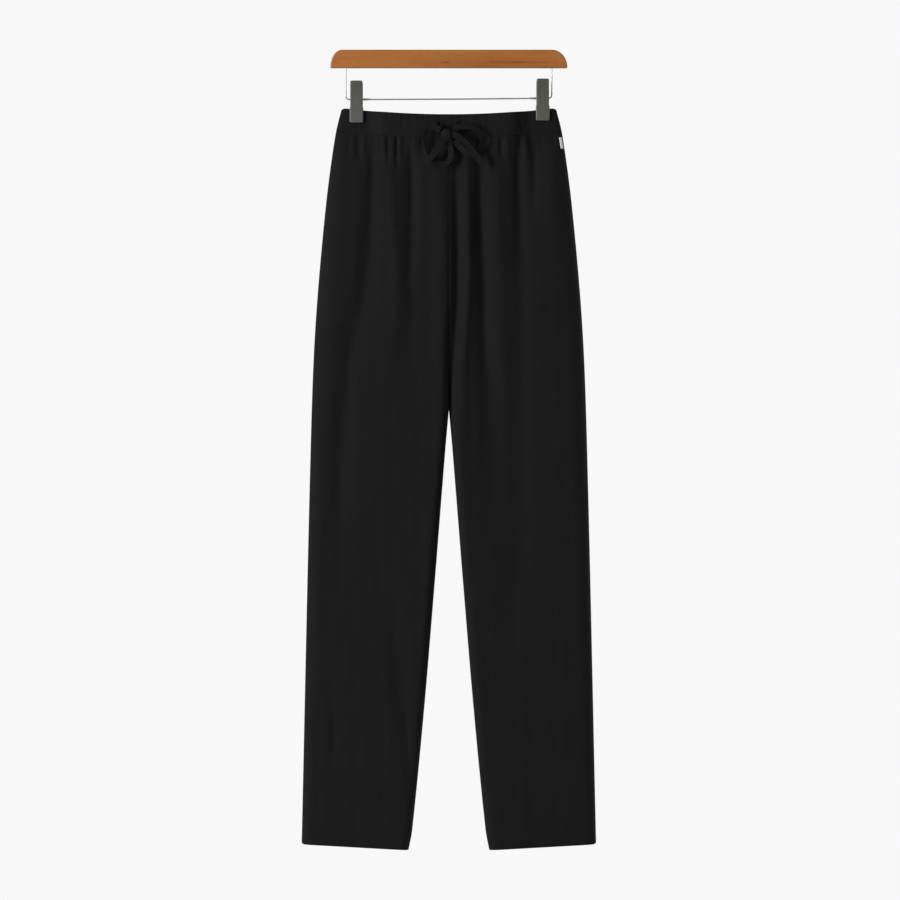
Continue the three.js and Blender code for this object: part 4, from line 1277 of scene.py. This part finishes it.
def tube(name, line, radii, material, sides=16):
    """A round tube along a line in the plane y = 0, its radius given at each point."""
    line = np.array(line, float)
    radii = np.broadcast_to(radii, len(line))
    tangents = np.gradient(line, axis=0)
    tangents /= np.linalg.norm(tangents, axis=1)[:, None]
    points = []
    for centre, tangent, radius in zip(line, tangents, radii):
        up = np.cross(tangent, (0, 1, 0))
        for k in range(sides):
            angle = 2 * math.pi * k / sides
            points.append(centre + radius * (math.cos(angle) * up + math.sin(angle) * np.array((0, 1, 0))))
    count = len(line)
    faces = [(i * sides + k, i * sides + (k + 1) % sides, (i + 1) * sides + (k + 1) % sides,
              (i + 1) * sides + k)
             for i in range(count - 1) for k in range(sides)]
    faces += [tuple(range(sides)), tuple((count - 1) * sides + k for k in range(sides))]
    return point_outwards(add_mesh(name, points, faces, material))


def wire_line():
    far = WIRE_HIGH[0] - WIRE_RADIUS
    line = [(-far, 0, z) for z in np.linspace(WIRE_HIGH[2], RUN_Z["right"] + WIRE_BEND, 12)]
    bend = np.linspace(0, math.pi / 2, 12)[1:]
    line += [(-far + WIRE_BEND * (1 - math.cos(a)), 0,
              RUN_Z["right"] + WIRE_BEND * (1 - math.sin(a))) for a in bend]
    share = np.linspace(0, 1, 60)[1:-1]
    sag = 0.0003
    line += [(lerp(-far + WIRE_BEND, far - WIRE_BEND, t), 0,
              lerp(RUN_Z["right"], RUN_Z["left"], t) - sag * math.sin(math.pi * t)) for t in share]
    line += [(far - WIRE_BEND * (1 - math.sin(a)), 0, RUN_Z["left"] + WIRE_BEND * (1 - math.cos(a)))
             for a in np.concatenate([[0], bend])]
    line += [(far, 0, z) for z in np.linspace(RUN_Z["left"] + WIRE_BEND, WIRE_HIGH[2], 12)[1:]]
    return line


wire = tube("bent_wire", wire_line(), WIRE_RADIUS, wire_material)
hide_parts("hanger_wire")
for hand, toward in (("left", -1), ("right", 1)):
    low, high = (np.array(corner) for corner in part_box(f"wire_collar_{hand}"))
    middle_y, middle_z = (low[1] + high[1]) / 2, (low[2] + high[2]) / 2
    start, end = (low[0], high[0]) if toward > 0 else (high[0], low[0])
    shares = np.array((0, 0.04, 0.3, 0.75, 0.96, 1.0))
    radii = np.array((0.0014, 0.0016, 0.0015, 0.0013, 0.0012, 0.00105))
    collar = tube(f"collar_{hand}", [(lerp(start, end, t), middle_y, middle_z) for t in shares], radii,
                  wire_material)
    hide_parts(f"wire_collar_{hand}")
print("wire run", {hand: round(float(z), 4) for hand, z in RUN_Z.items()})

# %% Spring tree
spring_tree, spring_in, spring_out = new_tree("coil spring", [
    ("Turns", "NodeSocketFloat", 5.0), ("Radius", "NodeSocketFloat", 0.0024),
    ("Length", "NodeSocketFloat", 0.006),
    ("Wire", "NodeSocketFloat", 0.0006), ("Material", "NodeSocketMaterial", None)])


def build_spring_tree():
    nodes, links = spring_tree.nodes, spring_tree.links
    coil = nodes.new("GeometryNodeCurveSpiral")
    coil.inputs["Resolution"].default_value = 28
    links.new(spring_in.outputs["Turns"], coil.inputs["Rotations"])
    links.new(spring_in.outputs["Radius"], coil.inputs["Start Radius"])
    links.new(spring_in.outputs["Radius"], coil.inputs["End Radius"])
    links.new(spring_in.outputs["Length"], coil.inputs["Height"])
    ring = nodes.new("GeometryNodeCurvePrimitiveCircle")
    ring.inputs["Resolution"].default_value = 10
    links.new(spring_in.outputs["Wire"], ring.inputs["Radius"])
    sweep = nodes.new("GeometryNodeCurveToMesh")
    sweep.inputs["Fill Caps"].default_value = True
    links.new(coil.outputs[0], sweep.inputs["Curve"])
    links.new(ring.outputs[0], sweep.inputs["Profile Curve"])
    real = nodes.new("GeometryNodeRealizeInstances")
    dress = nodes.new("GeometryNodeSetMaterial")
    links.new(sweep.outputs[0], real.inputs[0])
    links.new(real.outputs[0], dress.inputs[0])
    links.new(spring_in.outputs["Material"], dress.inputs["Material"])
    links.new(dress.outputs[0], spring_out.inputs[0])


build_spring_tree()
for hand in ("left", "right"):
    low, high = (np.array(corner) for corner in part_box(f"clip_{hand}_spring"))
    middle = (low + high) / 2
    length = float(high[0] - low[0]) - 0.0014
    spring = grown(f"spring_{hand}", [[(0, 0, 0), (0, 0, 1)]], spring_tree, "wire", Turns=5.5,
                   Radius=0.0024,
                   Length=length, Wire=0.00058, Material=wire_material)
    lay_along_x = Matrix.Rotation(math.pi / 2, 4, "Y")
    spring.data.transform(Matrix.Translation((middle[0] - length / 2, middle[1], middle[2])) @ lay_along_x)
    point_outwards(spring)
    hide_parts(f"clip_{hand}_spring")
    print(spring.name, len(spring.data.polygons), "faces")

# %% [markdown]
# ## Clips
# Each clip is two pressed steel leaves: a finger grip that leans out, a bend at the hinge, and a flat jaw
# a little wider than the grip, with its edges turned in. The leaf is bent from one strip, so its side
# profile is drawn once and given its width, and small drilled ears hold it to the wire.

# %% Clip leaves
LEAF = 0.0012
GRIP_HALF = 0.0083
STEP_HALF = 0.0085
JAW_HALF = 0.0091
GRIP_Y = 0.0126
HINGE_Y = 0.0086
JAW_Y = 0.00635
HINGE_SHARE = 0.42
JAW_SHARE = 0.62
EAR_GAP = 0.0003
EAR_RADIUS = 0.0026
EAR_HOLE = 0.0014
EAR_INSET = 0.0004
RIB_HEIGHT = 0.00035
RIBS = 7


def leaf_profile(height):
    """(distance from the middle, height below the top, half width) down the leaf, with soft bends."""
    rows = [(0.0, GRIP_Y, GRIP_HALF), (0.03, GRIP_Y, GRIP_HALF),
            (HINGE_SHARE - 0.04, HINGE_Y + 0.0003, STEP_HALF),
            (HINGE_SHARE, HINGE_Y, STEP_HALF), (HINGE_SHARE + 0.04, HINGE_Y - 0.0001, STEP_HALF),
            (JAW_SHARE, JAW_Y + 0.0001, STEP_HALF), (JAW_SHARE + 0.03, JAW_Y, JAW_HALF),
            (1.0, JAW_Y, JAW_HALF)]
    keys = [(-share, y, half) for share, y, half in rows]
    shares = np.linspace(0, 1, 60)
    return [(float(through(keys, -t, 1)), -t * height, float(through(keys, -t, 2))) for t in shares]


def leaf_piece(hand, side):
    """One leaf: a bent strip with rounded corners and turned-in edges."""
    name = f"clip_{hand}_{side}"
    low, high = (np.array(corner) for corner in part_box(name))
    facing = -1 if side == "front" else 1
    centre_x, top = (low[0] + high[0]) / 2, high[2]
    height = high[2] - low[2]
    shape = bmesh.new()
    columns = 15
    rows = leaf_profile(height)
    grid = []
    for y, z, half in rows:
        share = -z / height
        end = min(share, 1 - share) * height
        corner = 0.0016
        narrow = corner * (1 - math.sqrt(max(0, 1 - max(0, 1 - end / corner) ** 2)))
        line = []
        for k in range(columns):
            across = math.sin((k / (columns - 1) - 0.5) * math.pi)
            turned = 0.0007 * max(0, (abs(across) - 0.88) / 0.12) ** 2
            line.append(shape.verts.new((centre_x + across * (half - narrow),
                                         facing * (y + LEAF - turned), top + z)))
        grid.append(line)
    for a, b in zip(grid, grid[1:]):
        for k in range(columns - 1):
            shape.faces.new((a[k], a[k + 1], b[k + 1], b[k]))
    mesh = bpy.data.meshes.new(f"leaf_{hand}_{side}")
    if facing < 0:
        bmesh.ops.reverse_faces(shape, faces=shape.faces)
    shape.to_mesh(mesh)
    shape.free()
    mesh.polygons.foreach_set("use_smooth", [True] * len(mesh.polygons))
    mesh.materials.append(clip_material)
    piece = place(bpy.data.objects.new(f"leaf_{hand}_{side}", mesh))
    thick = piece.modifiers.new("thick", "SOLIDIFY")
    thick.thickness = LEAF
    thick.offset = -1
    edge = piece.modifiers.new("edge", "BEVEL")
    edge.width = 0.0003
    edge.segments = 2
    edge.limit_method = "ANGLE"
    edge.angle_limit = math.radians(40)
    baked(piece)
    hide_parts(name)
    return piece


def ear_outline(centre, toward, radius, length):
    """A tab with a round end about the hinge and a straight root in the leaf, as (y, z) points."""
    points = [(centre[0] + radius * math.cos(a) * -toward, centre[1] + radius * math.sin(a))
              for a in np.linspace(-math.pi / 2, math.pi / 2, 16)]
    return points + [(centre[0] + toward * length, centre[1] + radius),
                     (centre[0] + toward * length, centre[1] - radius)]


def ear_piece(hand, side):
    """The two drilled ears of a leaf, as flat rings of steel beside the spring."""
    name = f"clip_{hand}_{side}"
    low, high = (np.array(corner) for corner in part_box(name))
    spring_low, spring_high = (np.array(corner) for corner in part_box(f"clip_{hand}_spring"))
    facing = -1 if side == "front" else 1
    centre_x = (low[0] + high[0]) / 2
    hinge_z = (spring_low[2] + spring_high[2]) / 2
    inset = 0 if side == "front" else LEAF + EAR_GAP
    shape = bmesh.new()
    outline = ear_outline((0, hinge_z), facing, EAR_RADIUS, HINGE_Y + 0.0004)
    hole = [(EAR_HOLE * math.cos(a), hinge_z + EAR_HOLE * math.sin(a)) for a in np.linspace(0, 2 * math.pi,
                                                                                        18)[:-1]]
    for sign in (-1, 1):
        edge = sign * (STEP_HALF - EAR_INSET - inset)
        loops = []
        for x in (edge, edge - sign * LEAF):
            outside = [shape.verts.new((centre_x + x, y, z)) for y, z in outline]
            inside = [shape.verts.new((centre_x + x, y, z)) for y, z in hole]
            rim = [shape.edges.new((loop[i], loop[(i + 1) % len(loop)])) for loop in (outside, inside)
                   for i in range(len(loop))]
            bmesh.ops.triangle_fill(shape, use_beauty=True, edges=rim)
            loops.append((outside, inside))
        for a, b in zip(*loops):
            for i in range(len(a)):
                shape.faces.new((a[i], a[(i + 1) % len(a)], b[(i + 1) % len(a)], b[i]))
    mesh = bpy.data.meshes.new(f"ears_{hand}_{side}")
    bmesh.ops.recalc_face_normals(shape, faces=shape.faces)
    shape.to_mesh(mesh)
    shape.free()
    mesh.materials.append(clip_material)
    return place(bpy.data.objects.new(f"ears_{hand}_{side}", mesh))


def pad_piece(hand, side):
    """A ribbed rubber pad inside one jaw."""
    name = f"clip_{hand}_pad_{side}"
    low, high = (np.array(corner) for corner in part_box(name))
    facing = -1 if side == "front" else 1
    near, far = (high[1], low[1]) if facing < 0 else (low[1], high[1])
    outline = []
    for k in range(RIBS * 4 + 1):
        z = lerp(low[2], high[2], k / (RIBS * 4))
        outline.append((near + facing * RIB_HEIGHT * (1 + math.cos(2 * math.pi * k / 4)) / 2, z))
    outline += [(far, high[2]), (far, low[2])]
    count = len(outline)
    points = [(x, y, z) for x in (low[0], high[0]) for y, z in outline]
    faces = [(k, (k + 1) % count, count + (k + 1) % count, count + k) for k in range(count)]
    faces += [tuple(range(count)), tuple(range(count, 2 * count))]
    piece = point_outwards(add_mesh(f"pad_{hand}_{side}", points, faces, pad_material))
    piece.data.polygons.foreach_set("use_smooth", [False] * len(piece.data.polygons))
    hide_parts(name)
    return piece


for hand in ("left", "right"):
    for side in ("front", "back"):
        leaf, ears, pad = leaf_piece(hand, side), ear_piece(hand, side), pad_piece(hand, side)
        print(leaf.name, len(leaf.data.polygons), ears.name, len(ears.data.polygons), pad.name)

# %% [markdown]
# ## Stage
# A pale floor lies well below the hems. The key light is a large soft box far to the left, low enough to
# rake across the cloth, so the left wall of each fold is bright and the right wall dark. A weaker box
# fills from the right and one from above brushes the bar. The sky is even and dim, so it hardly softens
# the folds, but a camera that looks straight at it sees a pale backdrop.

# %% Stage and lights
FLOOR_Z = -1.6
FLOOR_X = 5.0
FLOOR_Y = (-6.0, 4.0)
BACKDROP = 0.94
SKY = 0.12


def stage_material():
    material, tree, shader, coordinates = new_material("pale floor")
    tone = noise_node(tree, coordinates.outputs["Object"], 3.0)
    tree.links.new(ramp_node(tree, tone, [(0.0, (0.86, 0.86, 0.86)), (1.0, (0.88, 0.88, 0.88))]),
                   shader.inputs["Base Color"])
    shader.inputs["Roughness"].default_value = 0.9
    return material


def pale_floor():
    corners = [(x, y, FLOOR_Z) for x, y in ((-FLOOR_X, FLOOR_Y[0]), (FLOOR_X, FLOOR_Y[0]),
                                            (FLOOR_X, FLOOR_Y[1]), (-FLOOR_X, FLOOR_Y[1]))]
    mesh = bpy.data.meshes.new("pale_floor")
    mesh.from_pydata(corners, [], [(0, 1, 2, 3)])
    mesh.materials.append(stage_material())
    floor = bpy.data.objects.new("pale_floor", mesh)
    bpy.context.scene.collection.objects.link(floor)


def soft_box(name, location, target, size, watts):
    data = bpy.data.lights.new(name, "AREA")
    data.shape = "RECTANGLE"
    data.size, data.size_y = size
    data.energy = watts
    light = bpy.data.objects.new(name, data)
    light.location = location
    light.rotation_euler = (Vector(target) - Vector(location)).to_track_quat("-Z", "Y").to_euler()
    bpy.context.scene.collection.objects.link(light)


def studio_sky():
    world = bpy.data.worlds.new("studio")
    bpy.context.scene.world = world
    world.use_nodes = True
    tree = world.node_tree
    background = tree.nodes["Background"]
    path = tree.nodes.new("ShaderNodeLightPath")
    background.inputs["Color"].default_value = (1.0, 1.0, 1.0, 1)
    tree.links.new(math_node(tree, "MULTIPLY_ADD", path.outputs["Is Camera Ray"], BACKDROP - SKY, SKY),
                   background.inputs["Strength"])


pale_floor()
centre = (0, 0, middle_z)
soft_box("key", (-2.7, -1.75, 0.0), centre, (0.8, 1.8), 118)
soft_box("fill", (2.3, -2.4, -0.2), centre, (1.2, 2.0), 16)
soft_box("rim", (3.0, 0.9, -0.3), centre, (1.0, 2.0), 45)
soft_box("top", (-0.2, -0.9, 2.0), centre, (1.4, 0.8), 9)
studio_sky()
bpy.context.scene.view_settings.view_transform = "Standard"
print("stage and lights ready")
